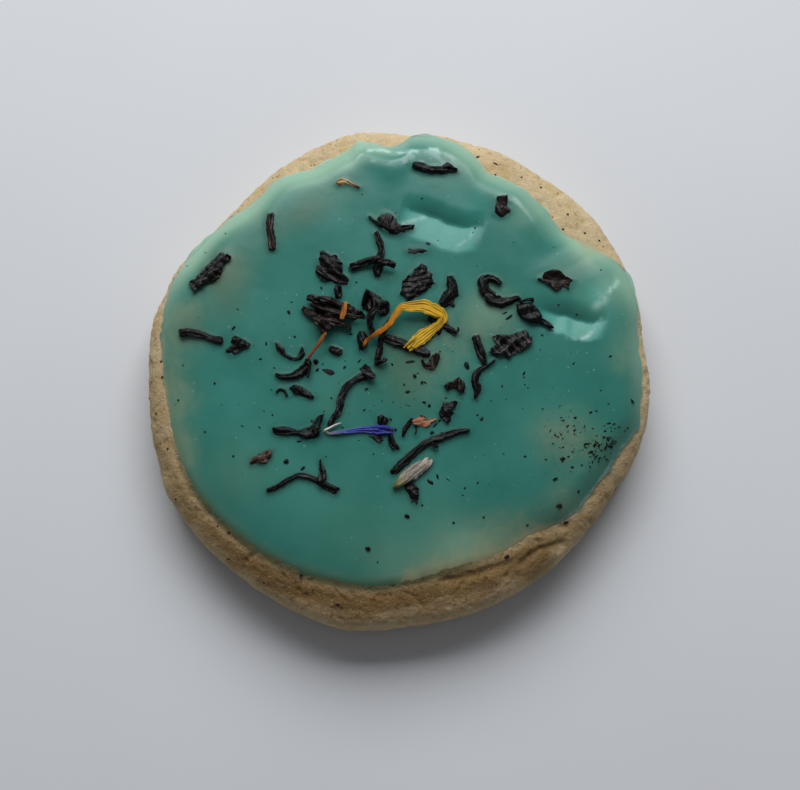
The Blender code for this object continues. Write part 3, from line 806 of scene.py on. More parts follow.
paint_dough()
dress(biscuit, dough_finish(), "biscuit")
print("dough is toasted up to", round(float(carried(biscuit, "toast_less_foot_light").max()), 2))

# %% [markdown]
# ## The icing
# One smooth body: domed with the dough, rolled over at its crisp edges, thin where it ran
# out, creased by its two folds. The ball's upper part takes the rule for the icing's top, and
# the rest its underside, which sinks a little into the dough so that no gap shows.

# %% Icing mesh
ICING_SEGMENTS = 140
ICING_RINGS = 38
ICING_RIM_DROP = 0.86  # share of the rings that lie over the top
ICING_UNDER_REACH = 0.985  # the underside's share of the edge's radius
ICING_BITE = 0.30  # how deep the icing sits in the dough


def icing_place(turn, drop):
    """Where a point of the icing goes."""
    edge = icing_reach(np.degrees(turn) % 360)
    is_top = drop <= ICING_RIM_DROP + 1e-9
    over = np.sin(ramp(drop, 0, ICING_RIM_DROP) * np.pi / 2)
    reach = edge * np.where(is_top, over, ICING_UNDER_REACH * ramp(drop, 1, ICING_RIM_DROP))
    x, y = reach * np.cos(turn), reach * np.sin(turn)
    return x, y, np.where(is_top, icing_top(x, y), icing_floor(x, y) - ICING_BITE)


icing = reshaped_ball("icing_glaze", ICING_SEGMENTS, ICING_RINGS, icing_place, cuts=3)
print("icing mesh:", len(icing.data.polygons), "faces")

# %% [markdown]
# ## Where the icing changes colour
# Poured icing is never one colour. Where it is thin the dough shines through, and where it
# soaked in it is dull. Painted light pales the thick lips and slopes that catch the window and
# lifts the shaded near side, and painted shade dulls some patches between the leaves. Cloudy
# noise alone would put these anywhere, so short lists of patches place them, and noise only
# makes their edges ragged.

# %% Thin and dull icing
# Patches where the icing is thin: (x, y, radius, strength).
THIN_PATCHES = (
    (-27.0, 9.5, 5.0, 0.2), (-29.0, 14.5, 4.0, 0.1), (-11.0, 26.0, 5.5, 0.35), (22.5, -18.4, 2.8, 0.45),
    (32.0, 5.0, 3.0, 0.22), (13.0, 7.0, 5.0, 0.55), (3.5, -1.5, 6.0, 0.42), (5.5, 4.5, 5.0, 0.35),
    (27.5, 17.0, 3.0, 0.8), (31.5, 1.0, 3.2, 0.45), (25.0, -10.5, 5.5, 0.52), (20.5, -9.5, 4.0, 0.35),
    (12.5, -25.5, 5.0, 0.85), (17.5, -22.5, 4.0, 0.4), (-31.0, -4.0, 4.0, 0.6), (-31.0, 4.0, 4.0, 0.5),
    (-30.5, -11.0, 3.0, 0.5), (5.0, -28.0, 4.0, 0.7), (-30.5, 8.0, 2.6, 0.5),
)
# Patches where it is dull and olive: soaked in, and painted shade between the leaves in the middle.
OLIVE_AND_SHADE_PATCHES = (
    (-25.0, 14.0, 4.5, 0.8), (-24.0, 8.0, 4.0, 0.35), (24.5, 14.0, 3.2, 0.45), (-18.5, 20.5, 4.5, 0.45),
    (-6.0, 26.5, 4.0, 0.3), (0.0, 2.0, 4.5, 0.55), (1.0, -4.0, 4.0, 0.35), (-12.0, 24.0, 3.0, 0.3),
    (9.0, 3.0, 3.0, 0.2), (-9.0, -5.0, 6.0, 0.3), (27.2, -11.0, 2.6, 0.5), (-13.5, 22.0, 3.0, 0.3),
    (-30.0, 6.0, 2.5, 0.3),
)
# Patches where it soaked in and the dough shows.
BARE_PATCHES = (
    (12.5, -27.8, 4.0, 0.9), (6.0, -29.2, 3.0, 0.9), (1.5, -30.2, 2.4, 0.7), (18.5, -24.2, 2.8, 0.5),
    (27.2, 18.6, 2.6, 0.6),
)
print("thin, olive and bare patches:", len(THIN_PATCHES), len(OLIVE_AND_SHADE_PATCHES), len(BARE_PATCHES))

# %% Painted light and gloss on the icing
# Painted light: patches made lighter where the icing leans towards the window, and on its shaded near side:
# (x, y, radius, strength).
PAINTED_LIGHT_PATCHES = (
    (28.0, 10.3, 1.8, 0.9), (11.5, 24.2, 2.4, 0.5), (2.0, -27.0, 5.0, 0.3), (-14.0, -23.0, 8.0, 0.25),
    (9.0, -26.5, 4.0, 0.4), (-24.0, -4.5, 4.0, 0.25), (23.0, -4.0, 4.0, 0.2), (12.5, -21.5, 4.0, 0.2),
)
# Painted light: pale patches where the icing leans towards the window, and on its shaded near side.
PALE_PAINTED_LIGHT_PATCHES = (
    (-30.5, 16.5, 3.2, 0.4), (-23.5, 23.5, 3.6, 0.5), (-14.5, 29.0, 4.0, 0.35), (-7.0, 30.5, 3.0, 0.4),
    (8.0, 30.5, 4.0, 0.35), (17.0, 22.0, 3.0, 0.3), (26.5, 17.5, 3.0, 0.5), (31.0, 12.0, 3.5, 0.35),
    (9.0, -26.0, 4.5, 0.30), (12.5, 8.5, 4.0, 0.42), (-8.0, -23.0, 10.0, 0.18), (-23.0, -15.0, 6.0, 0.26),
    (6.0, -22.5, 6.0, 0.20), (-1.0, -28.0, 4.5, 0.26), (26.0, 9.0, 5.0, 0.14),
)
# Patches that dried glossier than the rest.
WET_PATCHES = (
    (-5.0, 31.5, 3.0, 0.6), (1.0, 31.5, 2.6, 0.6), (6.0, 31.8, 2.6, 0.55), (16.0, 24.5, 2.6, 0.4),
    (11.5, 10.5, 4.0, 0.3), (0.0, 14.0, 6.0, 0.25), (-27.5, 16.5, 3.0, 0.4),
)
# Painted highlights: thin lines where a lip catches the window: (path, width, strength).
GLINT_LINES = (
    (((31.1, 12.9), (30.4, 11.8)), 0.34, 0.42), (((30.0, 11.4), (29.7, 11.2)), 0.40, 0.55),
    (((28.9, 10.0), (28.5, 9.4), (27.7, 8.9)), 0.65, 0.34),
    (((27.0, 5.0), (26.3, 4.4), (25.6, 4.1)), 0.28, 0.45), (((28.4, 7.2), (27.3, 5.4)), 0.22, 0.25),
    (((24.8, 3.9), (23.5, 4.3)), 0.22, 0.3),
    (((-4.6, 31.9), (-2.6, 32.2), (-0.7, 31.5), (2.0, 31.8), (2.6, 31.7)), 0.32, 0.55),
    (((4.4, 32.2), (5.4, 32.0)), 0.35, 0.65), (((0.6, 20.8), (1.7, 21.2), (3.5, 21.9)), 0.28, 0.35),
    (((10.6, 20.0), (9.6, 18.4), (7.8, 17.2)), 0.24, 0.2),
)
# How strongly painted light pales the edge: (bearing, strength).
PAINTED_EDGE_LIGHT = (
    (0, 0.45), (20, 0.55), (30, 0.3), (42, 0.55), (60, 0.7), (90, 0.55), (100, 0.9), (150, 0.9), (165, 0.4),
    (185, 0.0), (330, 0.0), (345, 0.25), (360, 0.45),
)
print("bright, mint and glossy patches:", len(PAINTED_LIGHT_PATCHES), len(PALE_PAINTED_LIGHT_PATCHES), len(WET_PATCHES))

# %% [markdown]
# ## The icing's finish
# Sugar icing is slightly translucent, so a little light passes under its surface. Its teal is
# laid first, and each mark then mixes in its own colour. A clear coat shows only on the
# glossy patches: raising the gloss everywhere would light the whole top.

# %% Icing finish
ICING_DEEP = (0.028, 0.175, 0.138)
ICING_LIGHT = (0.039, 0.204, 0.163)
ICING_MINT = (0.245, 0.412, 0.294)
ICING_THIN = (0.140, 0.230, 0.155)
ICING_SOAKED_AND_SHADED = (0.080, 0.155, 0.092)
ICING_BARE = (0.300, 0.320, 0.190)
ICING_GLINT = (0.55, 0.76, 0.68)
ICING_GLOW_DEPTH = 1.6  # how far light travels inside the icing
ICING_PAINTED_LIGHT = 0.45  # how much lighter painted light makes the icing
ICING_LEAF_SHADE = 0.24  # painted shade: how much darker the icing is beside a leaf


def icing_finish():
    """Glazed teal icing: each step lays one more colour over the last."""
    finish = Finish(
        "poured_icing", Specular_IOR_Level=0.25, Subsurface_Weight=0.35, Subsurface_Radius=(0.5, 1.0, 0.85),
        Subsurface_Scale=ICING_GLOW_DEPTH * MM, Coat_Roughness=0.08,
    )
    at = finish.place()
    wisps = finish.noise(0.40, 4.0, 0.6, at=at, distortion=1.2)
    colour = finish.noise(0.10, 3.0, at=at).ease(0.35, 0.65).between(ICING_DEEP, ICING_LIGHT)
    thin = finish.attribute("thin") * (0.30 + 1.4 * wisps)
    colour = thin.ease(0.08, 0.95).between(colour, ICING_THIN)
    # Painted light: pale mint where the edge and slopes catch the window, and on the shaded near side.
    colour = finish.attribute("painted_pale_light").ease(0.0, 1.0).between(colour, ICING_MINT)
    # Dull olive where it soaked in, and painted shade between the leaves.
    colour = finish.attribute("soaked_and_shaded").ease(0.10, 1.0).between(colour, ICING_SOAKED_AND_SHADED)
    bare = finish.attribute("bare") * (0.35 + 1.3 * wisps)
    colour = bare.ease(0.15, 1.0).between(colour, ICING_BARE)
    # Painted light: lighter on slopes that lean towards the window, and on the shaded near side.
    colour = colour * (finish.attribute("painted_light") * ICING_PAINTED_LIGHT + 1.0)
    # Painted shade beside the leaves.
    colour = colour * (1.0 - finish.attribute("leaf_shade") * ICING_LEAF_SHADE)
    # Painted highlights along the lips and folds.
    line = finish.attribute("glint") * finish.noise(0.9, 2.0, at=at).ease(0.30, 0.56)
    colour = line.between(colour, ICING_GLINT)
    speck = finish.cells(0.75, at).ease(0.13, 0.06) * finish.noise(0.3, 2.0, at=at).ease(0.5, 0.6)
    colour = (speck * 0.5).between(colour, ICING_MINT)
    gloss = finish.attribute("wet") * finish.noise(0.6, 3.0, at=at).ease(0.44, 0.60)
    finish.feed(finish.shader.inputs["Coat Weight"], gloss)
    roughness = 0.24 + 0.14 * finish.noise(0.4, 3.0, at=at)
    return finish.wear(colour, roughness, height=finish.noise(0.6, 2.0, 0.4, at=at), depth=0.03)


# %% [markdown]
# The marks are worked out once for every point of the icing. The patches give most of them.
# Rings along the edge give the rest, because thin icing is paler, duller or barer there, and
# because painted light and a painted highlight follow the edge.

# %% Painting the icing
# Rings along the edge: (how far in the ring lies, its width, strength).
EDGE_THIN = (0.0, 2.4, 0.5)
EDGE_OLIVE = (0.0, 1.3, 1.0)
EDGE_BARE = (0.0, 0.9, 0.9)
# Painted light: a pale ring along the edge.
EDGE_PALE_PAINTED_LIGHT = (0.0, 2.8, 1.0)
# Painted light on the slope of a soft edge.
EDGE_PAINTED_LIGHT = (1.8, 3.0, 0.45)
RIM_GLINT = (0.25, 0.2, 0.35)
RIM_GLINT_MIDDLE = 331  # the bearing of the painted highlight along the rim at the near right
RIM_GLINT_FADE = (16, 10)  # degrees away from it where it ends, and where it is whole


def ring(inset, ring_inset, width, strength):
    """How strongly a ring along the icing's edge marks a point this far inside it."""
    return strength * hump(inset - ring_inset, width)


def paint_icing():
    """Marks where the icing is thin, dull, bare or glossy, and where painted light, painted shade and
    painted highlights go.
    """
    x, y, _ = points_of(icing).T
    bearing = bearing_of(x, y)
    inset = np.maximum(0, icing_radius(bearing) - np.hypot(x, y))
    soft, near = 1 - icing_crispness(bearing), near_side(bearing)
    edge_light = np.interp(bearing, *zip(*PAINTED_EDGE_LIGHT))
    right_rim = ramp(np.abs(turn_between(bearing, RIM_GLINT_MIDDLE)), *RIM_GLINT_FADE)
    painted_light = np.maximum(lit_walls(x, y), patches(x, y, PAINTED_LIGHT_PATCHES))
    marks = {
        "wet": patches(x, y, WET_PATCHES),
        "thin": patches(x, y, THIN_PATCHES) + soft * ring(inset, *EDGE_THIN),
        "soaked_and_shaded": patches(x, y, OLIVE_AND_SHADE_PATCHES) + near * soft * ring(inset, *EDGE_OLIVE),
        "bare": patches(x, y, BARE_PATCHES) + (1 - near) * soft * ring(inset, *EDGE_BARE),
        "painted_pale_light": patches(x, y, PALE_PAINTED_LIGHT_PATCHES) + edge_light * ring(inset, *EDGE_PALE_PAINTED_LIGHT),
        "painted_light": painted_light + soft * ring(inset, *EDGE_PAINTED_LIGHT),
        "glint": lines(x, y, GLINT_LINES) + right_rim * ring(inset, *RIM_GLINT),
    }
    for name, strength in marks.items():
        most = 1.2 if name in ("thin", "bare") else 1.0
        carry(icing, name, np.clip(strength, 0, most))
    return list(marks)


print("icing is marked with", paint_icing())
dress(icing, icing_finish(), "icing")

# %% [markdown]
# ## Tea leaves
# Black tea is a leaf that was rolled, oxidised and dried, so a cup of it holds two kinds of
# scrap: rolled strips, and flat flakes torn from broken leaves. Cloth simulation could crush
# a sheet, but it is slow and hard to steer. Here a strip follows a path and a flake fills an
# outline, and both are crumpled by a rule into flat facets that meet in sharp folds.

# %% Crumpling
# Coarse, middling and fine folds: (pitch, depth).
CRUMPLE_FOLDS = ((2.9, 0.42), (1.7, 0.30), (0.95, 0.16))
CRUMPLE_CREASE_WIDTH = 0.11  # how wide the rubbed line along a fold is, which also carries a painted highlight


def fold_phase(x, y, seed, order, pitch):
    """How far a point is through its fold: 0 on a valley, half on either side's ridge."""
    heading = seed * (2.3 + 1.7 * order)
    bent = 0.45 * grain(x, y, np.full_like(x, seed + order), 0.55, seed)
    turns = (x * math.cos(heading) + y * math.sin(heading) + bent) / pitch + seed
    return np.abs(turns - np.floor(turns + 0.5))


def crumple(x, y, seed, amount):
    """Height of crushed leaf in millimetres: flat facets that meet in sharp folds."""
    folds = [
        depth * (4 * fold_phase(x, y, seed, order, pitch) - 1)
        for order, (pitch, depth) in enumerate(CRUMPLE_FOLDS)
    ]
    return amount * sum(folds)


def crease_lines(x, y, seed):
    """1 along the tops of the folds, where leaf wears pale and carries a painted highlight, and 0 elsewhere.
    """
    away = [
        (0.5 - fold_phase(x, y, seed, order, pitch)) * pitch
        for order, (pitch, _) in enumerate(CRUMPLE_FOLDS)
    ]
    return np.clip(1 - np.minimum.reduce(away) / CRUMPLE_CREASE_WIDTH, 0, 1)


def veins(x, y, heading, pitch):
    """Parallel veins across a leaf: 1 on a vein and 0 between, pitch millimetres apart."""
    across = -x * math.sin(math.radians(heading)) + y * math.cos(math.radians(heading))
    sway = 0.12 * np.sin(1.7 * x + 0.9 * y)
    return (0.5 + 0.5 * np.cos((across + sway) * 2 * math.pi / pitch)) ** 2


print("crushed leaf rises and falls at most", round(sum(depth for _, depth in CRUMPLE_FOLDS), 2), "mm")

# %% [markdown]
# ## Rolled strips
# A strip is a short table of points: x, y and width, and where it matters how far it lifts.
# The table is read as a smooth curve. A curve object with a bevel could follow it too, but
# its section would be the same all along, and rolled leaf has a seam, ribs and torn ends.

# %% Strips
STRIP_STRETCH = 0.42  # folds run along a rolled strip, so they are this much closer across it
STRIP_CAP = 0.025  # share of the ball's drop at each pole that closes the strip's end
STRIP_STEP = 0.02  # share of the path ahead and behind that gives its heading
STRIP_TAPER = 0.14  # how soon the section reaches its full size
STRIP_TORN = 0.14  # share of the path at each end that is torn


def along(path, share):
    """x, y, width and lift a share of the way along a smooth curve through the path."""
    path = np.array([point + (0.0,) * (4 - len(point)) for point in path])
    spans = len(path) - 1
    first = np.clip((share * spans).astype(int), 0, spans - 1)
    picks = [path[np.clip(first + step, 0, spans)] for step in (-1, 0, 1, 2)]
    return catmull_rom(*picks, (share * spans - first)[:, None]).T


def heading_along(path, share):
    """Which way the path runs a share of the way along it, as x and y of length 1."""
    behind, ahead = np.maximum(0, share - STRIP_STEP), np.minimum(1, share + STRIP_STEP)
    run = (along(path, ahead) - along(path, behind))[:2]
    return run / np.hypot(*run)


def strip(path, thick, seed, crushed=0.3, groove=0.35, ragged=0.15, teeth=0.25, cup=0.0, ribs=0.03,
          ribs_across=8, wrinkles=1.0, shares=(0, 1), fine=(34, 64)):
    """A rolled strip along a path. Its heights are above its own lowest edge.

    A fold wanders along its top. groove is the depth of the seam beside it, teeth how far
    its torn ends reach beyond the path, cup how much its long edges turn up, and ribs the
    depth of ribs_across lengthwise ribs. wrinkles is how strongly its folds are marked.
    shares is what the mark called share runs between, and fine the ball's segments and rings.
    """
    reaches = np.array([point[:2] for point in path])
    path_length = np.hypot(*np.diff(reaches, axis=0).T).sum()

    def place(turn, drop):
        share = ramp(drop, STRIP_CAP, 1 - STRIP_CAP)
        x, y, width, lift = along(path, share)
        ahead_x, ahead_y = heading_along(path, share)
        close = ramp(np.sin(np.pi * drop), 0, STRIP_TAPER) ** 0.5
        across, up = np.cos(turn), np.sin(turn)
        side = np.sign(across) * 3
        edge = 1 + ragged * (1.6 * grain(x, y, side, 1.1, seed) + 1.3 * grain(x, y, side, 3.1, seed + 9))
        reach = across * width / 2 * close * edge
        # Torn ends: each side of the end reaches a different way beyond the path.
        ends = ramp(share, 1 - STRIP_TORN, 1) - ramp(share, STRIP_TORN, 0)
        tear = grain(across * 1.6, up * 0.3, np.sign(ends) * 2, 1.7, seed) * 1.6 + 0.25
        push = teeth * width * ends * tear
        x, y = x + ahead_y * reach + ahead_x * push, y - ahead_x * reach + ahead_y * push
        # The section: a low roof whose ridge wanders, over a rounded belly.
        seam = 0.5 * np.sin(share * 5.0 + seed)
        roof = 1 - np.abs(across - seam) / np.where(across > seam, 1 - seam, 1 + seam)
        height = thick / 2 * (1 + np.where(up > 0, 0.35 * up + 0.75 * roof, up) * close)
        rib = np.cos(across * ribs_across * math.pi + 1.4 * np.sin(share * 7 + seed))
        height += ribs * rib * close
        height -= groove * thick * hump(across + 0.9 * seam, 0.20) * np.clip(up, 0, 1) * close
        height += cup * np.abs(reach) ** 1.5 + lift
        # Folds, and the marks that its finish reads.
        went = share * path_length
        height += crumple(went * STRIP_STRETCH, reach, seed, crushed) * (0.4 + 0.6 * close)
        # Ribs and folds are rubbed pale and carry painted highlights.
        worn_and_lit = 0.5 + 0.9 * grain(x, y, np.full_like(x, seed), 0.9, seed + 2)
        creases = wrinkles * crease_lines(went * STRIP_STRETCH, reach, seed)
        ridge = np.clip(np.clip(rib, 0, 1) ** 2 * worn_and_lit * (ribs > 0) + creases, 0, 1)
        marks = {"ridge": ridge, "share": shares[0] + (shares[1] - shares[0]) * share}
        return x, y, height, marks | {"along": went, "across": reach + 7 * seed}

    return reshaped_ball("shell", *fine, place)


# %% [markdown]
# ## Torn flakes
# A flake is an outline. It is read straight from corner to corner, because torn leaf has
# corners, and noise tears its edge further. Extruding the outline would give a flat chip, so
# a ball is flattened into it instead and takes the same folds as a strip.

# %% Flakes
FLAKE_TEAR = 0.10  # how raggedly a flake's edge is torn, as a share of its size
FLAKE_FINE_TEAR = 0.09
FLAKE_VEIN_MARK = 0.8  # how pale its veins are rubbed, with a painted highlight


def flake(outline, thick, seed, crushed=0.5, middle=None, rib=None, curl=(), droop=0.0, fine=(96, 28)):
    """A torn flake that fills an outline given anticlockwise.

    rib is (heading, pitch, depth) of its veins. curl lists (bearing, rise) of edges that
    turn up. droop bends the whole rim down. fine is the ball's segments and rings.
    """
    corners = np.array(outline + outline[:1])
    steps = np.concatenate(((0,), np.cumsum(np.hypot(*np.diff(corners, axis=0).T))))
    centre = np.array(middle) if middle else corners[:-1].mean(axis=0)
    size = np.hypot(*(corners - centre).T).max()
    grain_heading = math.radians(rib[0] if rib else seed * 77 % 180)

    def place(turn, drop):
        went = (turn % (2 * np.pi)) / (2 * np.pi) * steps[-1]
        edge_x, edge_y = np.interp(went, steps, corners[:, 0]), np.interp(went, steps, corners[:, 1])
        share = np.sin(np.pi * drop) ** 0.8
        torn = np.full_like(edge_x, seed)
        tear = 1 + FLAKE_TEAR * grain(edge_x, edge_y, torn, 1.5, seed)
        tear += FLAKE_FINE_TEAR * grain(edge_x, edge_y, torn, 3.6, seed)
        x = centre[0] + (edge_x - centre[0]) * share * tear
        y = centre[1] + (edge_y - centre[1]) * share * tear
        side = np.where(drop < 0.5, 1.0, -1.0)
        height = thick / 2 * (1 + side * np.sqrt(np.clip(1 - share**5, 0, 1)))
        height += crumple(x, y, seed, crushed) - droop * share**2
        ridge = crease_lines(x, y, seed)
        if rib:
            vein = veins(x, y, rib[0], rib[1])
            height += rib[2] * vein
            ridge = np.maximum(ridge, FLAKE_VEIN_MARK * vein**2)
        for bearing, rise in curl:
            toward_x, toward_y = math.cos(math.radians(bearing)), math.sin(math.radians(bearing))
            toward = ((x - centre[0]) * toward_x + (y - centre[1]) * toward_y) / size
            height += rise * np.clip(toward, 0, 1) ** 1.5
        ahead_x, ahead_y = math.cos(grain_heading), math.sin(grain_heading)
        marks = {"along": x * ahead_x + y * ahead_y, "across": y * ahead_x - x * ahead_y + 7 * seed}
        return x, y, height, marks | {"ridge": ridge, "share": share}

    return reshaped_ball("shell", *fine, place)


# %% [markdown]
# ## Laying the leaves down
# Each leaf drops until it touches the icing or a leaf that fell before it, and dry leaf is
# stiff but not rigid, so it gives a little. Every point says how far up it must go, and
# lifts its neighbours by as much, less a set slope. Leaves that fell on wet icing sank in.
# A physics simulation would do it too, but slowly, and this rule gives the same result each time.

# %% Settling
LEAF_SINK = 0.22  # how deep a leaf sits in the icing
LEAF_BEND = 0.16  # the slope that a leaf gives way by
LEAF_REST = 0.02  # gap between two leaves that touch
HIGH_ABOVE = 60.0  # a height above everything, from which the leaves below are searched for
fallen = []  # (low x, high x, low y, high y, tree) of each leaf already down
strewn = []  # every finished piece that lies in the icing


def rest_height(x, y, z, sink):
    """How far each point must rise to clear the icing and the fallen leaves, in millimetres."""
    need = icing_top(x, y) - sink - z
    for low_x, high_x, low_y, high_y, tree in fallen:
        for index in np.flatnonzero((x > low_x) & (x < high_x) & (y > low_y) & (y < high_y)):
            hit = tree.ray_cast(Vector((x[index], y[index], HIGH_ABOVE)), Vector((0.0, 0.0, -1.0)))[0]
            if hit is not None:
                need[index] = max(need[index], hit.z + LEAF_REST - z[index])
    return need


def settle(shell, sink=LEAF_SINK):
    """Lowers a shell on to whatever lies under it."""
    points = points_of(shell)
    x, y, z = points.T
    need = rest_height(x, y, z, sink)
    away = np.hypot(x[:, None] - x[None, :], y[:, None] - y[None, :])
    points[:, 2] += (need[None, :] - LEAF_BEND * away).max(axis=1)
    move_points(shell, points)
    faces = [tuple(face.vertices) for face in shell.data.polygons]
    tree = BVHTree.FromPolygons([Vector(point) for point in points], faces)
    fallen.append((x.min(), x.max(), y.min(), y.max(), tree))
    return shell


# %% [markdown]
# A leaf may be made of several shells, as a fork or a torn lobe. They could be fused with a
# boolean, but crossing shells look the same and keep their marks, so they are only joined.

# %% Joining shells
SHELL_MARKS = ("ridge", "share", "along", "across")


def join(name, shells):
    """Makes shells that touch or cross into one piece, which carries all their marks."""
    marks = {key: np.concatenate([carried(shell, key) for shell in shells]) for key in SHELL_MARKS}
    whole = bmesh.new()
    for shell in shells:
        whole.from_mesh(shell.data)
    piece = add_mesh(name, whole)
    for shell in shells:
        bpy.data.objects.remove(shell, do_unlink=True)
    for key, values in marks.items():
        carry(piece, key, values)
    return piece


def lay_down(name, shells, material, node, sink=LEAF_SINK):
    """One piece from shells that fall in turn. It takes the place of its solid."""
    piece = join(name, [settle(shell, sink) for shell in shells])
    dress(piece, material, node)
    strewn.append(piece)
    return piece


# %% [markdown]
# ## The leaves' finish
# Dried black tea is near black with a brown or purple cast. Its ridges and fibres are rubbed
# paler and carry painted highlights, and it has a dull shine. One recipe serves the black
# leaves and the brown ones, and reads the leaf's own marks, so that its fibres turn with each
# leaf.

# %% Tea finish
def tea_finish(name, dark, rubbed_and_lit, flush):
    """Dried leaf: dark or flushed in clouds, and paler on its ridges and fibres, from wear and painted
    highlights.
    """
    finish = Finish(name, Specular_IOR_Level=0.22)
    at = finish.place()
    fibre = finish.fibres(3.6)
    colour = finish.noise(0.5, 2.0, at=at).ease(0.42, 0.68).between(dark, flush)
    # Ridges and fibres: rubbed paler, and painted highlights.
    rub_and_lit = finish.attribute("ridge") * (0.30 + fibre)
    colour = rub_and_lit.ease(0.45, 1.0).between(colour, rubbed_and_lit)
    colour = fibre.ease(0.64, 0.76).between(colour, rubbed_and_lit)
    roughness = 0.14 + 0.30 * finish.noise(1.2, 3.0, at=at)
    height = fibre + 0.35 * finish.noise(4.5, 3.0, 0.6, at=at)
    return finish.wear(colour, roughness, height, depth=0.16)


BLACK_TEA = tea_finish(
    "black_tea", (0.0018, 0.0018, 0.0021), (0.046, 0.040, 0.040), (0.0042, 0.0025, 0.0030),
)
BROWN_TEA = tea_finish(
    "brown_tea", (0.007, 0.0042, 0.0036), (0.100, 0.062, 0.046), (0.022, 0.0090, 0.0068),
)
print("tea finishes:", BLACK_TEA.name, BROWN_TEA.name)

# %% [markdown]
# ## Each leaf
# Every leaf that is large enough to have a solid of its own is listed in the order they
# fell. The leaves could be a few shapes used many times, but no two of these are alike, so
# each has its own few points.

# %% Leaves at the back and left
def leaf(number, *shells, brown=False, worn_and_lit=0.0):
    """One tea leaf. Its wear, the last argument, rubs it paler and strengthens its painted highlights, or
    darkens both where it is less than nothing.
    """
    material, slot = (BROWN_TEA, "brown_tea") if brown else (BLACK_TEA, "black_tea")
    piece = lay_down(f"leaf_{number:02d}", shells, material, f"tea_leaf_{number:02d}")
    carry(piece, "ridge", np.clip(carried(piece, "ridge") + worn_and_lit, 0, 1.5))


leaf(1, strip(((-18.5, 22.3, 1.0), (-18.5, 20.2, 1.1), (-18.2, 18.4, 1.2), (-18.1, 17.0, 1.1)), 0.7, 1.3,
        groove=0.25), brown=True)
leaf(2, flake(((-30.0, 12.5), (-30.0, 11.9), (-29.5, 11.4), (-29.0, 10.9), (-28.5, 11.3), (-28.0, 11.8),
        (-27.0, 12.2), (-25.9, 12.5), (-25.5, 13.4), (-25.2, 14.3), (-25.0, 15.0), (-24.1, 15.6),
        (-24.5, 16.5), (-25.0, 16.4), (-25.6, 16.8), (-26.3, 16.0), (-27.0, 15.3), (-27.8, 14.6),
        (-28.5, 13.6), (-29.2, 12.8)), 0.35, 2.4, crushed=1.1, rib=(35, 1.1, 0.25)), worn_and_lit=0.3)
leaf(3, strip(((-31.0, 5.0, 1.1), (-29.8, 5.1, 1.2), (-28.0, 4.7, 1.0), (-26.7, 4.1, 0.8),
        (-25.8, 3.8, 1.1), (-25.0, 3.8, 0.9)), 0.75, 3.1, groove=0.2, ribs=0.10))
leaf(4, flake(((-24.5, 2.4), (-24.3, 2.0), (-23.6, 1.6), (-22.6, 2.1), (-21.8, 2.5), (-20.8, 3.1),
        (-21.6, 3.7), (-22.4, 4.0), (-23.0, 4.4), (-23.6, 4.2), (-23.9, 3.0)), 0.3, 4.2, crushed=0.7,
        rib=(60, 0.9, 0.15)))
leaf(5, flake(((-11.9, 13.7), (-11.7, 13.2), (-11.3, 12.5), (-10.0, 12.2), (-8.6, 11.9), (-7.6, 11.7),
        (-7.3, 12.4), (-7.4, 12.9), (-8.0, 13.2), (-8.1, 13.9), (-8.1, 14.8), (-8.6, 15.3), (-9.1, 16.0),
        (-10.0, 16.2), (-10.9, 16.6), (-11.3, 16.5), (-11.4, 15.9), (-11.7, 14.9)), 0.35, 5.7, crushed=0.7,
        rib=(-20, 0.85, 0.16), curl=((250, 0.5),)),
    strip(((-8.7, 11.5, 0.9), (-8.7, 10.7, 1.1), (-8.7, 9.9, 0.9)), 0.75, 5.1, crushed=0.2))
print("leaves down:", len(strewn))

# %% Leaves of the brown cluster
leaf(6, flake(((-12.5, 8.5), (-12.2, 7.9), (-11.2, 7.3), (-10.2, 6.9), (-9.2, 6.6), (-8.5, 6.9),
        (-7.6, 7.2), (-6.8, 6.8), (-6.1, 6.5), (-5.6, 6.9), (-4.7, 6.8), (-4.9, 7.3), (-5.7, 8.0),
        (-6.5, 8.5), (-7.2, 8.9), (-8.2, 9.1), (-9.0, 9.4), (-9.8, 10.0), (-10.6, 9.6), (-11.2, 9.3),
        (-12.4, 9.1)), 0.4, 6.3, crushed=0.9, rib=(-40, 0.8, 0.22), curl=((100, 0.6),)),
    strip(((-13.0, 9.7, 0.8), (-12.2, 9.5, 1.2), (-11.3, 9.2, 1.0)), 0.8, 6.8),
    strip(((-11.6, 9.5, 0.4), (-10.0, 9.3, 0.6), (-8.2, 8.5, 0.6), (-6.8, 7.7, 0.4)), 0.4, 6.1,
        crushed=0.25),
    strip(((-12.6, 8.7, 0.4), (-10.8, 8.1, 0.6), (-8.6, 7.5, 0.7), (-6.4, 6.9, 0.5), (-5.0, 6.9, 0.3)), 0.4,
        6.5, crushed=0.3), brown=True)
leaf(7, strip(((-13.7, 8.3, 0.7), (-12.6, 7.6, 1.0), (-11.5, 6.8, 1.0), (-10.3, 6.3, 1.0), (-9.0, 6.1, 0.9),
        (-8.0, 5.9, 0.7), (-6.9, 5.3, 0.6)), 0.8, 7.2, ribs=0.12, groove=0.2),
    flake(((-12.6, 6.8), (-11.8, 5.6), (-11.1, 4.6), (-10.4, 4.1), (-10.0, 4.9), (-9.0, 5.4), (-9.0, 5.9),
        (-10.4, 6.4), (-11.6, 6.7)), 0.4, 7.9, crushed=0.7), brown=True)
leaf(8, strip(((-13.0, 1.0, 0.6), (-13.0, 0.3, 1.2), (-13.6, -0.5, 1.4), (-14.8, -1.3, 1.1),
        (-16.4, -1.5, 0.9), (-17.4, -1.1, 0.4)), 0.9, 8.4, crushed=0.3),
    strip(((-13.1, 0.6, 0.5), (-12.7, -0.4, 0.6), (-12.9, -1.7, 0.3)), 0.4, 8.8))
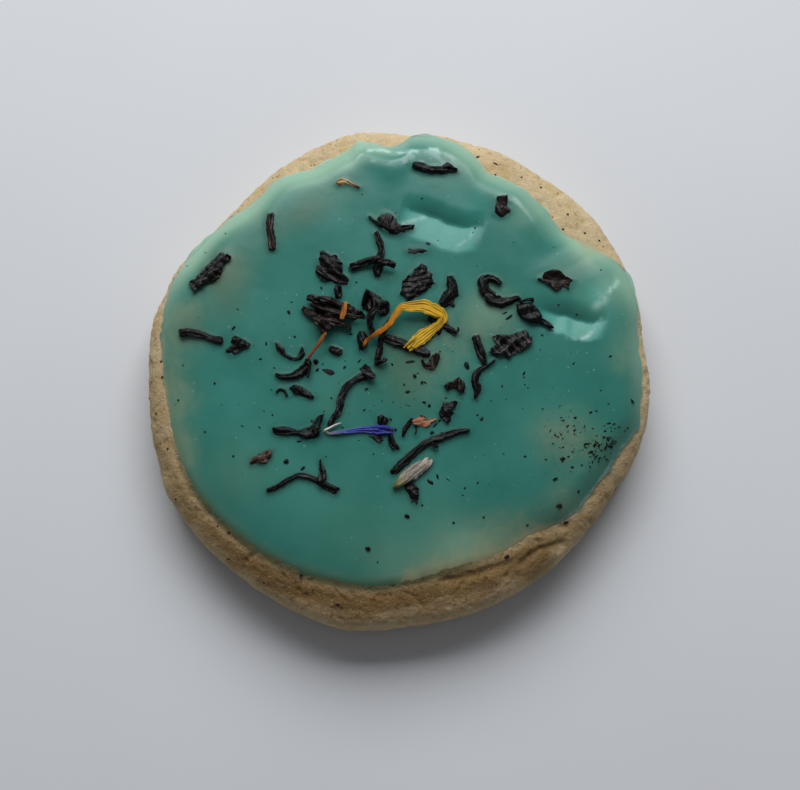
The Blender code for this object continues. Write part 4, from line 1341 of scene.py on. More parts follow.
leaf(9, strip(((-17.5, 3.4, 0.25), (-16.9, 2.5, 0.9), (-16.3, 1.7, 0.6), (-15.3, 1.2, 0.55),
        (-14.4, 1.1, 0.6), (-13.8, 1.7, 0.9), (-13.75, 2.8, 0.2)), 0.55, 9.5, crushed=0.2, ragged=0.3))
leaf(10, flake(((-10.1, 2.3), (-9.8, 2.0), (-9.2, 1.7), (-8.4, 1.5), (-8.0, 1.9), (-8.1, 2.4), (-8.7, 2.7),
        (-9.6, 2.9), (-10.0, 2.7)), 0.7, 10.2, crushed=0.3, rib=(50, 0.42, 0.12), fine=(44, 16)),
        brown=True)
print("leaves down:", len(strewn))

# %% Leaves at the back of the middle
leaf(11, strip(((-3.4, 19.4, 0.7), (-2.9, 18.0, 1.0), (-2.6, 16.8, 0.9), (-2.9, 15.6, 1.3),
        (-3.1, 14.4, 1.5), (-3.3, 13.1, 1.0)), 0.9, 11.1, crushed=0.4),
    strip(((-2.8, 15.4, 0.9), (-4.4, 15.0, 1.2), (-5.6, 14.6, 1.1), (-6.7, 14.2, 1.2)), 0.8, 11.5,
        teeth=0.5, crushed=0.4),
    strip(((-3.0, 14.6, 0.8), (-2.0, 14.7, 1.0), (-0.8, 14.3, 0.9)), 0.8, 11.8, teeth=0.3))
leaf(12, flake(((-3.5, 21.0), (-2.9, 20.2), (-2.0, 19.5), (-1.0, 19.1), (0.3, 19.2), (1.3, 19.5),
        (2.1, 20.1), (2.1, 20.6), (1.5, 20.3), (0.7, 20.1), (0.1, 20.2), (-0.1, 20.8), (-0.5, 21.4),
        (-1.2, 22.1), (-2.2, 22.5), (-3.0, 21.9)), 0.35, 12.6, middle=(-1.3, 20.4), crushed=0.4,
        curl=((70, 1.0), (250, 0.7))),
    strip(((-4.4, 21.8, 0.3), (-3.7, 21.1, 0.4), (-2.6, 20.3, 0.5)), 0.5, 12.9, crushed=0.1),
    strip(((-3.0, 20.5, 0.3), (-1.8, 19.9, 0.35), (-0.4, 19.7, 0.35), (1.0, 19.9, 0.3), (2.0, 20.4, 0.35)),
        0.35, 12.2, crushed=0.1), worn_and_lit=-0.5)
leaf(13, flake(((-5.4, 8.6), (-5.0, 8.0), (-4.4, 8.0), (-3.3, 8.1), (-3.0, 8.7), (-2.5, 9.4), (-2.8, 10.0),
        (-3.3, 10.2), (-4.0, 10.7), (-4.8, 11.0), (-5.0, 10.6), (-5.1, 10.0), (-5.3, 9.4)), 0.5, 13.3,
        crushed=1.0))
leaf(14, flake(((-3.3, 8.0), (-2.7, 7.2), (-2.0, 7.2), (-1.5, 7.8), (-1.4, 8.6), (-1.7, 9.2), (-2.4, 9.4),
        (-3.0, 8.7)), 0.4, 14.1, crushed=0.5, curl=((150, 0.5),)),
    strip(((-3.4, 8.0, 0.9), (-4.1, 7.0, 1.2), (-4.2, 5.9, 0.9), (-3.9, 4.9, 0.8), (-3.9, 4.2, 0.7)), 0.7,
        14.8))
leaf(15, strip(((-1.2, 6.9, 0.5), (-2.1, 5.6, 0.8), (-2.7, 4.0, 0.8), (-2.8, 2.5, 0.9), (-3.1, 1.2, 0.9),
        (-3.1, 0.4, 0.9)), 0.7, 15.4, crushed=0.2, ribs=0.08),
    strip(((-3.1, 0.5, 0.5), (-2.5, 0.5, 0.5), (-2.1, 0.9, 0.8)), 0.6, 15.9))
leaf(16, flake(((-6.1, 4.2), (-5.9, 3.0), (-5.7, 2.0), (-5.2, 2.3), (-4.6, 3.2), (-4.3, 4.3), (-4.9, 5.0),
        (-5.7, 5.0)), 0.4, 16.6, crushed=0.8))
leaf(17, strip(((-2.0, 4.0, 1.1), (-0.6, 3.5, 1.4), (1.0, 2.9, 1.4), (2.4, 2.3, 1.2), (3.4, 1.9, 1.2),
        (4.1, 1.7, 0.7)), 0.9, 17.2, crushed=0.2, groove=0.15))
leaf(18, strip(((4.0, 6.9, 0.8), (5.2, 6.3, 0.9), (6.4, 5.7, 1.0), (7.2, 5.1, 1.0), (7.9, 4.7, 0.9)), 0.7,
        18.7, crushed=0.2),
    flake(((4.7, 5.0), (5.2, 4.6), (5.5, 4.2), (5.7, 4.7), (6.0, 5.3), (5.3, 5.6)), 0.3, 18.1,
        fine=(36, 12)))
print("leaves down:", len(strewn))

# %% Leaves at the back right
leaf(19, strip(((1.9, 29.6, 0.9), (3.2, 29.2, 1.3), (4.6, 28.8, 1.1), (5.8, 28.8, 1.2), (6.9, 29.1, 1.3),
        (7.6, 28.9, 0.7), (8.2, 28.8, 0.3)), 1.0, 19.3, crushed=0.25, groove=0.3))
leaf(20, flake(((13.6, 23.2), (13.3, 22.3), (14.1, 21.9), (14.7, 21.8), (15.3, 22.1), (15.7, 22.5),
        (15.7, 22.9), (15.3, 23.4), (15.4, 24.2), (15.4, 25.0), (14.6, 24.9), (13.8, 24.6), (13.8, 23.9)),
        0.4, 20.5, crushed=0.35, curl=((90, 0.7),)), brown=True)
leaf(21, flake(((0.4, 12.2), (0.3, 11.3), (0.2, 10.5), (0.7, 9.9), (1.3, 9.4), (1.8, 9.5), (2.4, 9.9),
        (3.4, 10.6), (4.0, 11.2), (4.7, 11.5), (5.0, 12.0), (4.6, 12.7), (4.6, 13.3), (4.0, 13.9),
        (3.7, 14.4), (3.2, 14.8), (2.6, 14.5), (1.9, 13.9), (1.0, 12.9)), 0.4, 21.9, crushed=0.45,
        rib=(8, 0.8, 0.16), curl=((200, 0.4), (20, 0.4))))
leaf(22, strip(((7.0, 12.8, 0.9), (7.3, 12.0, 1.4), (7.4, 11.2, 1.4), (7.2, 10.3, 1.9), (6.5, 9.5, 1.9),
        (5.8, 8.9, 1.1)), 0.9, 22.4, crushed=0.6))
leaf(23, strip(((14.2, 11.9, 0.6), (13.5, 12.4, 0.9), (12.7, 12.7, 1.1), (11.8, 12.3, 1.5),
        (11.8, 11.3, 1.6), (12.3, 10.4, 1.8), (13.1, 9.6, 1.7), (14.2, 9.2, 1.5), (15.4, 9.4, 1.1),
        (16.5, 9.8, 0.7), (17.0, 9.6, 0.4)), 0.95, 23.3, crushed=0.45, groove=0.4, fine=(26, 84)))
leaf(24, flake(((16.4, 8.1), (16.6, 7.5), (17.2, 6.8), (18.2, 6.2), (19.5, 6.1), (20.5, 5.9), (21.2, 5.3),
        (21.5, 5.6), (21.3, 6.1), (20.6, 6.6), (20.1, 6.8), (19.9, 7.4), (19.5, 8.2), (18.6, 8.9),
        (18.0, 9.1), (17.0, 9.1), (16.5, 8.8)), 0.9, 24.8, middle=(18.3, 7.6), crushed=0.35, droop=-0.3),
    strip(((16.9, 9.1, 0.4), (18.0, 9.5, 0.5), (18.8, 9.5, 0.7)), 0.6, 24.2, crushed=0.1), worn_and_lit=-0.6)
leaf(25, flake(((20.0, 12.8), (20.6, 12.3), (21.1, 11.8), (21.5, 11.2), (22.1, 10.9), (22.7, 11.2),
        (23.1, 11.6), (23.8, 11.3), (24.2, 11.8), (24.5, 12.6), (23.4, 13.1), (22.8, 13.6), (22.0, 13.9),
        (21.0, 13.8), (20.4, 13.6)), 0.45, 25.6, crushed=0.25, curl=((265, 1.5), (85, 2.0))),
    strip(((19.5, 12.6, 0.3), (20.3, 12.4, 0.4), (21.2, 11.9, 0.5)), 0.4, 25.1, crushed=0.1), brown=True)
leaf(26, flake(((12.5, 2.4), (12.6, 1.9), (13.4, 1.5), (14.6, 1.6), (15.2, 1.2), (16.0, 1.8), (17.0, 2.1),
        (17.8, 2.6), (18.5, 3.0), (18.6, 3.8), (18.5, 4.4), (18.1, 4.9), (17.6, 5.3), (17.0, 5.0),
        (16.2, 4.8), (15.2, 4.4), (14.2, 4.5), (13.6, 4.5), (13.0, 4.2), (13.4, 3.6), (13.3, 3.0)), 0.45,
        26.5, middle=(15.8, 3.2), crushed=0.7, rib=(-45, 1.1, 0.2)), worn_and_lit=0.45)
print("leaves down:", len(strewn))

# %% Leaves right of the middle
leaf(27, strip(((10.6, 4.2, 1.1), (10.9, 3.2, 1.2), (11.2, 2.2, 1.2), (11.6, 1.2, 1.3), (11.8, 0.4, 0.7)),
        0.8, 27.7, crushed=0.2, ribs=0.08))
leaf(28, strip(((13.3, 0.9, 0.25), (12.3, 0.1, 0.45), (11.3, -0.4, 0.7), (10.7, -1.2, 1.1),
        (10.5, -2.3, 1.2), (10.8, -3.3, 1.2), (10.5, -4.5, 0.3)), 0.8, 28.4, crushed=0.25, teeth=0.4))
leaf(29, strip(((5.0, 1.6, 1.2), (4.9, 0.8, 1.4), (4.3, 0.1, 1.2), (3.5, 0.1, 0.7), (3.1, 0.9, 0.4)), 0.6,
        29.2, crushed=0.35), brown=True)
leaf(30, flake(((0.8, 16.8), (1.2, 16.4), (1.9, 16.1), (2.6, 16.3), (3.5, 16.4), (3.8, 16.7), (3.4, 17.0),
        (1.1, 17.2)), 0.3, 30.3, crushed=0.3, curl=((90, 0.4),), fine=(48, 14)))
leaf(31, flake(((6.1, -2.7), (6.4, -3.2), (6.9, -3.4), (7.4, -3.1), (7.9, -3.3), (8.4, -3.8), (9.0, -3.7),
        (9.1, -3.0), (9.0, -2.2), (8.6, -2.0), (8.2, -1.5), (7.4, -2.1), (6.6, -2.4)), 0.5, 31.4,
        crushed=0.7), brown=True)
leaf(32, flake(((5.4, -6.5), (5.5, -7.1), (6.0, -7.6), (6.6, -8.0), (7.1, -7.8), (7.2, -7.0), (7.6, -6.7),
        (7.1, -6.2), (7.4, -6.0), (7.9, -5.7), (8.0, -5.1), (7.8, -4.8), (7.4, -5.0), (6.9, -5.2),
        (6.4, -5.0), (6.0, -5.1), (5.7, -5.8)), 0.5, 32.6, middle=(6.5, -6.4), crushed=0.6))
print("leaves down:", len(strewn))

# %% Leaves at the front
leaf(33, flake(((-15.5, -3.1), (-14.8, -3.8), (-13.8, -4.2), (-13.0, -4.5), (-12.1, -4.6), (-12.0, -4.3),
        (-12.7, -3.6), (-13.4, -3.1), (-14.0, -2.8), (-14.9, -2.6)), 0.5, 33.8, crushed=0.4),
    strip(((-17.3, -3.7, 0.3), (-16.8, -3.3, 0.45), (-16.2, -3.5, 0.45), (-15.8, -4.2, 0.4)), 0.55, 33.2,
        crushed=0.05))
leaf(34, strip(((-4.0, -1.2, 1.0), (-5.4, -1.5, 1.1), (-6.7, -2.2, 0.9), (-7.6, -3.2, 1.1),
        (-8.2, -4.5, 1.1), (-8.4, -5.6, 1.0), (-8.6, -6.5, 0.9), (-9.3, -7.4, 0.8), (-9.8, -8.3, 0.7)),
        0.85, 34.4, crushed=0.28, ribs=0.08, ribs_across=5, fine=(26, 80)),
    flake(((-5.6, -0.5), (-5.2, -1.4), (-4.4, -1.9), (-3.5, -2.0), (-3.4, -1.4), (-3.9, -0.8), (-4.2, -0.2),
        (-4.8, 0.1)), 0.4, 34.9, crushed=0.6, rib=(-30, 0.7, 0.12)), worn_and_lit=0.3)
leaf(35, strip(((-17.7, -8.8, 0.4), (-17.0, -9.1, 1.1), (-15.6, -9.2, 1.2), (-14.2, -9.4, 0.9),
        (-13.0, -9.5, 1.6), (-12.1, -9.3, 1.9), (-11.4, -9.4, 1.0)), 0.8, 35.5, crushed=0.45),
    strip(((-12.0, -9.2, 0.6), (-12.0, -8.3, 0.5), (-11.5, -7.5, 0.4), (-10.9, -7.0, 0.3)), 0.5, 35.9),
    strip(((-11.3, -9.4, 0.5), (-11.2, -8.5, 0.35), (-10.9, -7.5, 0.35), (-10.6, -6.9, 0.2)), 0.5, 35.1))
leaf(36, flake(((-20.9, -13.6), (-20.6, -13.9), (-20.1, -13.7), (-19.4, -13.6), (-18.7, -13.8),
        (-18.3, -13.4), (-18.0, -12.9), (-17.9, -12.5), (-17.6, -11.9), (-18.0, -11.6), (-18.6, -11.9),
        (-19.3, -12.2), (-20.1, -12.7), (-20.6, -12.9)), 0.4, 36.3, crushed=0.8, rib=(20, 0.9, 0.15)),
        brown=True, worn_and_lit=0.65)
leaf(37, strip(((-18.4, -17.4, 0.5), (-17.6, -17.2, 0.7), (-16.5, -16.6, 0.7), (-15.3, -15.9, 0.7),
        (-14.2, -15.4, 0.7), (-13.1, -15.5, 0.8), (-12.0, -15.9, 0.8), (-11.0, -16.4, 1.0),
        (-10.0, -17.0, 1.1), (-8.8, -17.5, 1.1)), 0.75, 37.2, crushed=0.3, groove=0.5, fine=(26, 84)),
    strip(((-10.9, -16.3, 1.3), (-10.6, -15.3, 1.1), (-10.9, -14.3, 0.6), (-11.1, -13.2, 0.25)), 0.6, 37.7))
leaf(38, flake(((-3.2, -8.0), (-3.0, -8.4), (-2.4, -8.5), (-1.9, -8.2), (-1.5, -7.6), (-1.9, -7.2),
        (-2.5, -6.9), (-3.1, -7.1)), 0.5, 38.5, crushed=0.6),
    flake(((-4.5, -9.9), (-4.0, -10.3), (-3.3, -10.7), (-2.7, -10.9), (-2.3, -10.5), (-2.4, -9.8),
        (-3.4, -9.6)), 0.35, 38.1, crushed=0.3))
leaf(39, strip(((-1.3, -9.0, 0.5), (-1.3, -10.0, 0.8), (-1.1, -10.9, 1.0), (-0.6, -11.7, 1.0)), 0.7, 39.4,
        crushed=0.25))
leaf(40, strip(((1.7, -7.5, 0.5), (1.2, -8.2, 0.7), (0.7, -9.0, 0.7), (0.4, -9.9, 0.4)), 0.6, 40.6,
        crushed=0.2),
    strip(((2.2, -8.5, 0.3), (2.2, -9.1, 0.45), (2.1, -9.7, 0.25)), 0.4, 40.2, crushed=0.1))
leaf(41, strip(((9.6, -9.1, 0.5), (8.0, -9.3, 0.9), (6.5, -9.8, 1.0), (5.0, -10.3, 1.05), (3.6, -10.9, 1.0),
        (2.5, -11.8, 1.1), (1.2, -13.0, 1.2), (0.0, -14.1, 1.2), (-0.9, -15.0, 1.1)), 0.85, 41.3,
        crushed=0.25, groove=0.3, fine=(26, 84)),
    strip(((4.4, -11.0, 0.5), (4.9, -11.3, 0.7), (5.3, -11.5, 0.4)), 0.4, 41.9, crushed=0.1))
leaf(42, flake(((0.5, -16.7), (0.7, -17.3), (1.2, -18.0), (1.6, -19.0), (2.0, -19.0), (2.3, -19.4),
        (2.6, -18.6), (2.6, -17.3), (2.2, -16.7), (1.6, -16.2), (0.8, -16.1)), 0.5, 42.7,
        middle=(1.7, -17.6), crushed=0.5))
print("leaves down:", len(strewn), "of", len(fallen), "shells")

# %% [markdown]
# ## Petals and other flower parts
# A marigold petal loops over the leaves: it is thin, veined lengthwise, orange at its tail
# and yellow at its split end. A cornflower petal runs from a white thread to a ragged blue
# tip. A chaff husk has a pale crown and brown ribs. A stamen, a stub and a fragment of dried
# marigold are orange, and a bract at the back is straw gold. Each has the same recipe with
# its own four colours: at its start, its middle and its end, and in its streaks.

# %% Petal finish
PETAL_ROUGHNESS = 0.45
PETAL_STREAK_EASE = 0.20  # how softly a streak begins


def petal_finish(name, start, middle, end, streak, streaked=0.52):
    """Colour runs from start to end along the petal, with streaks where the fibres pass streaked."""
    finish = Finish(name, Specular_IOR_Level=0.3)
    share = finish.attribute("share")
    colour = share.ease(0.0, 0.5).between(start, middle)
    colour = share.ease(0.4, 1.0).between(colour, end)
    fibre = finish.fibres(3.4, 0.10)
    colour = (fibre.ease(streaked, streaked + PETAL_STREAK_EASE) * 0.8).between(colour, streak)
    colour = (finish.attribute("ridge") * 0.35).between(colour, streak)
    mottle = finish.noise(1.1, 3.0)
    colour = colour * (0.6 + 0.8 * mottle)
    return finish.wear(colour, PETAL_ROUGHNESS + 0.2 * mottle, height=fibre, depth=0.12)


YELLOW = petal_finish(
    "yellow_petal", (0.50, 0.12, 0.006), (0.58, 0.33, 0.008), (0.60, 0.37, 0.015), (0.26, 0.115, 0.004),
    streaked=0.47,
)
BLUE = petal_finish(
    "blue_petal", (0.54, 0.52, 0.46), (0.085, 0.10, 0.45), (0.010, 0.014, 0.16), (0.030, 0.035, 0.26),
)
STRAW = petal_finish(
    "straw_flower", (0.54, 0.48, 0.38), (0.33, 0.31, 0.26), (0.33, 0.31, 0.07), (0.075, 0.045, 0.028),
    streaked=0.44,
)
ORANGE = petal_finish(
    "orange_flower", (0.46, 0.17, 0.012), (0.30, 0.075, 0.015), (0.12, 0.025, 0.015), (0.10, 0.025, 0.01),
)
SALMON = petal_finish(
    "dried_marigold", (0.32, 0.12, 0.06), (0.34, 0.12, 0.06), (0.40, 0.19, 0.11), (0.12, 0.035, 0.02),
)
GOLD = petal_finish(
    "gold_bract", (0.36, 0.19, 0.05), (0.52, 0.42, 0.22), (0.22, 0.07, 0.03), (0.30, 0.17, 0.06),
)
print("petal finishes:", [finish.name for finish in (YELLOW, BLUE, STRAW, ORANGE, SALMON, GOLD)])

# %% [markdown]
# The flower parts are strips too: thin and cupped for a petal, thick and ribbed for a husk.
# They fell last, so they lie over the leaves.

# %% Orange bits and the bract
def flower_part(node, material, slot, *shells, sink=LEAF_SINK):
    """A petal, husk or other bit of flower."""
    lay_down(node + "_fine", shells, material, node, sink)


# Paths: (x, y, width), and in the petals also how far the point lifts.
BRACT_PATH = ((-8.9, 26.8, 0.7), (-8.3, 27.0, 1.0), (-7.5, 27.0, 0.7), (-6.7, 26.5, 0.5), (-5.8, 26.1, 0.2))
STAMEN_PATH = ((-10.4, 4.4, 0.35), (-11.2, 3.1, 0.5), (-12.2, 1.8, 0.45), (-12.9, 0.8, 0.4))
STUB_PATH = ((-7.6, 8.9, 0.4), (-7.8, 7.9, 0.7), (-8.0, 7.1, 0.8), (-8.2, 6.5, 0.5))
FRAGMENT_PATH = ((1.8, -8.0, 0.5), (2.6, -7.8, 1.3), (3.4, -7.9, 1.2), (4.2, -7.7, 0.7), (5.0, -7.5, 0.3))

flower_part("golden_bract", GOLD, "straw_flower", strip(BRACT_PATH, 0.6, 51.2, crushed=0.35, wrinkles=0.4))
flower_part("orange_stamen", ORANGE, "orange_flower",
            strip(STAMEN_PATH, 0.45, 52.4, crushed=0.1, ribs_across=4))
flower_part("orange_petal_stub", ORANGE, "orange_flower",
            strip(STUB_PATH, 0.3, 53.1, crushed=0.15, shares=(0, 0.3)))
flower_part("orange_fragment", SALMON, "orange_flower",
            strip(FRAGMENT_PATH, 0.4, 54.7, crushed=0.6, ragged=0.3, wrinkles=0.6))
print("pieces in the icing:", len(strewn))

# %% Petals and husk
MARIGOLD_PATH = (
    (-5.0, 2.8, 0.45, 0.1), (-4.6, 3.6, 0.5, 0.2), (-3.0, 4.6, 0.7, 0.6), (-1.6, 5.7, 0.8, 0.9),
    (-0.7, 7.0, 0.9, 1.2), (0.2, 8.1, 1.1, 1.5), (1.7, 8.2, 1.5, 1.7), (3.3, 8.3, 1.9, 1.8),
    (4.8, 7.8, 2.0, 1.7), (6.0, 7.0, 1.5, 1.5), (5.5, 5.9, 1.1, 1.3), (4.4, 5.1, 1.4, 1.1),
    (3.2, 4.2, 1.9, 0.9), (2.3, 3.4, 1.6, 0.8), (1.7, 2.7, 1.1, 0.7),
)
MARIGOLD_SPLIT = ((2.2, 4.0, 0.5, 1.0), (1.4, 3.3, 0.35, 0.8), (0.5, 2.5, 0.2, 0.5))
CORNFLOWER_PATH = (
    (-10.45, -9.2, 0.3, 0.3), (-9.8, -9.55, 0.35, 0.4), (-8.8, -9.45, 0.45, 0.6), (-7.4, -9.3, 0.55, 0.7),
    (-6.0, -9.1, 0.75, 0.8), (-4.8, -9.0, 1.0, 0.9), (-3.4, -9.0, 1.35, 0.8), (-2.1, -9.1, 1.35, 0.7),
)
FILAMENT_PATH = (
    (-10.5, -9.15, 0.25, 0.3), (-9.8, -8.8, 0.3, 0.4), (-9.0, -8.4, 0.28, 0.5), (-8.2, -8.1, 0.2, 0.5),
)
HUSK_PATH = (
    (3.9, -13.3, 1.2), (3.4, -13.9, 1.5), (2.4, -14.6, 1.9), (1.4, -15.3, 1.9), (0.4, -16.1, 1.4),
    (-0.4, -16.7, 0.8), (-0.9, -17.1, 0.2),
)

flower_part("yellow_petal", YELLOW, "yellow_petal",
            strip(MARIGOLD_PATH, 0.22, 55.3, crushed=0.28, groove=0.0, ribs=0.05, ribs_across=5, cup=0.16,
                  teeth=0.5, ragged=0.12, wrinkles=0.0, fine=(72, 130)),
            strip(MARIGOLD_SPLIT, 0.14, 55.9, crushed=0.1, groove=0.0, ragged=0.1, wrinkles=0.0,
                  shares=(0.8, 1.0)))
flower_part("blue_petal", BLUE, "blue_petal",
            strip(CORNFLOWER_PATH, 0.30, 56.2, crushed=0.3, groove=0.0, ribs=0.07, ribs_across=3, cup=0.25,
                  teeth=0.7, ragged=0.18, wrinkles=0.0, fine=(56, 90)),
            strip(FILAMENT_PATH, 0.26, 56.8, crushed=0.03, groove=0.0, ribs=0.0, wrinkles=0.0,
                  shares=(0.0, 0.0)),
            sink=0.0)
flower_part("straw_husk", STRAW, "straw_flower",
            strip(HUSK_PATH, 1.0, 57.4, crushed=0.25, groove=0.0, ribs=0.08, ribs_across=7, ragged=0.12,
                  wrinkles=0.9, teeth=0.4, fine=(60, 70)))
print("pieces in the icing:", len(strewn))

# %% [markdown]
# ## Tea crumbs and dust
# The tin's last spoonful is mostly crumbs. Those that can be told apart are listed with
# their length, width and heading. Finer dust fell in patches near the right edge and thinly
# round the middle, and is scattered with a fixed seed. Particles could scatter it too, but
# one joined mesh of small faceted grains is lighter, and its grains stay where they are.

# %% Scattering grains
GRAIN_HEIGHT = 0.75  # a grain's height as a share of its width
GRAIN_HIGHEST = 0.45
GRAIN_SINK = 0.42  # share of a grain's height that is in the icing
# How unevenly a grain's corners are pulled along it, across it and up.
GRAIN_ALONG, GRAIN_ACROSS, GRAIN_UP = (0.7, 1.3), (0.65, 1.35), (0.6, 1.3)
GRAIN_MARKS = (("ridge", 0.25), ("along", 2.0), ("across", 2.0))


def scatter(name, grains, floor, material, seed):
    """One mesh of small faceted grains on a floor, each (x, y, length, width, heading)."""
    chance = random.Random(seed)
    heap = bmesh.new()
    for x, y, length, width, heading in grains:
        lump = bmesh.ops.create_icosphere(heap, subdivisions=1, radius=0.5)["verts"]
        height = min(GRAIN_HIGHEST, GRAIN_HEIGHT * width)
        turn = math.radians(heading)
        rise = float(floor(np.array(x), np.array(y))) + height * (0.5 - GRAIN_SINK)
        for vert in lump:
            along_it = vert.co.x * length * chance.uniform(*GRAIN_ALONG)
            across_it = vert.co.y * width * chance.uniform(*GRAIN_ACROSS)
            vert.co.x = x + along_it * math.cos(turn) - across_it * math.sin(turn)
            vert.co.y = y + along_it * math.sin(turn) + across_it * math.cos(turn)
            vert.co.z = rise + vert.co.z * height * chance.uniform(*GRAIN_UP)
    bmesh.ops.scale(heap, vec=(MM, MM, MM), verts=heap.verts[:])
    piece = add_mesh(name, heap)
    for mark, most in GRAIN_MARKS:
        carry(piece, mark, [chance.uniform(0.0, most) for _ in piece.data.vertices])
    dress(piece, material)
    return piece


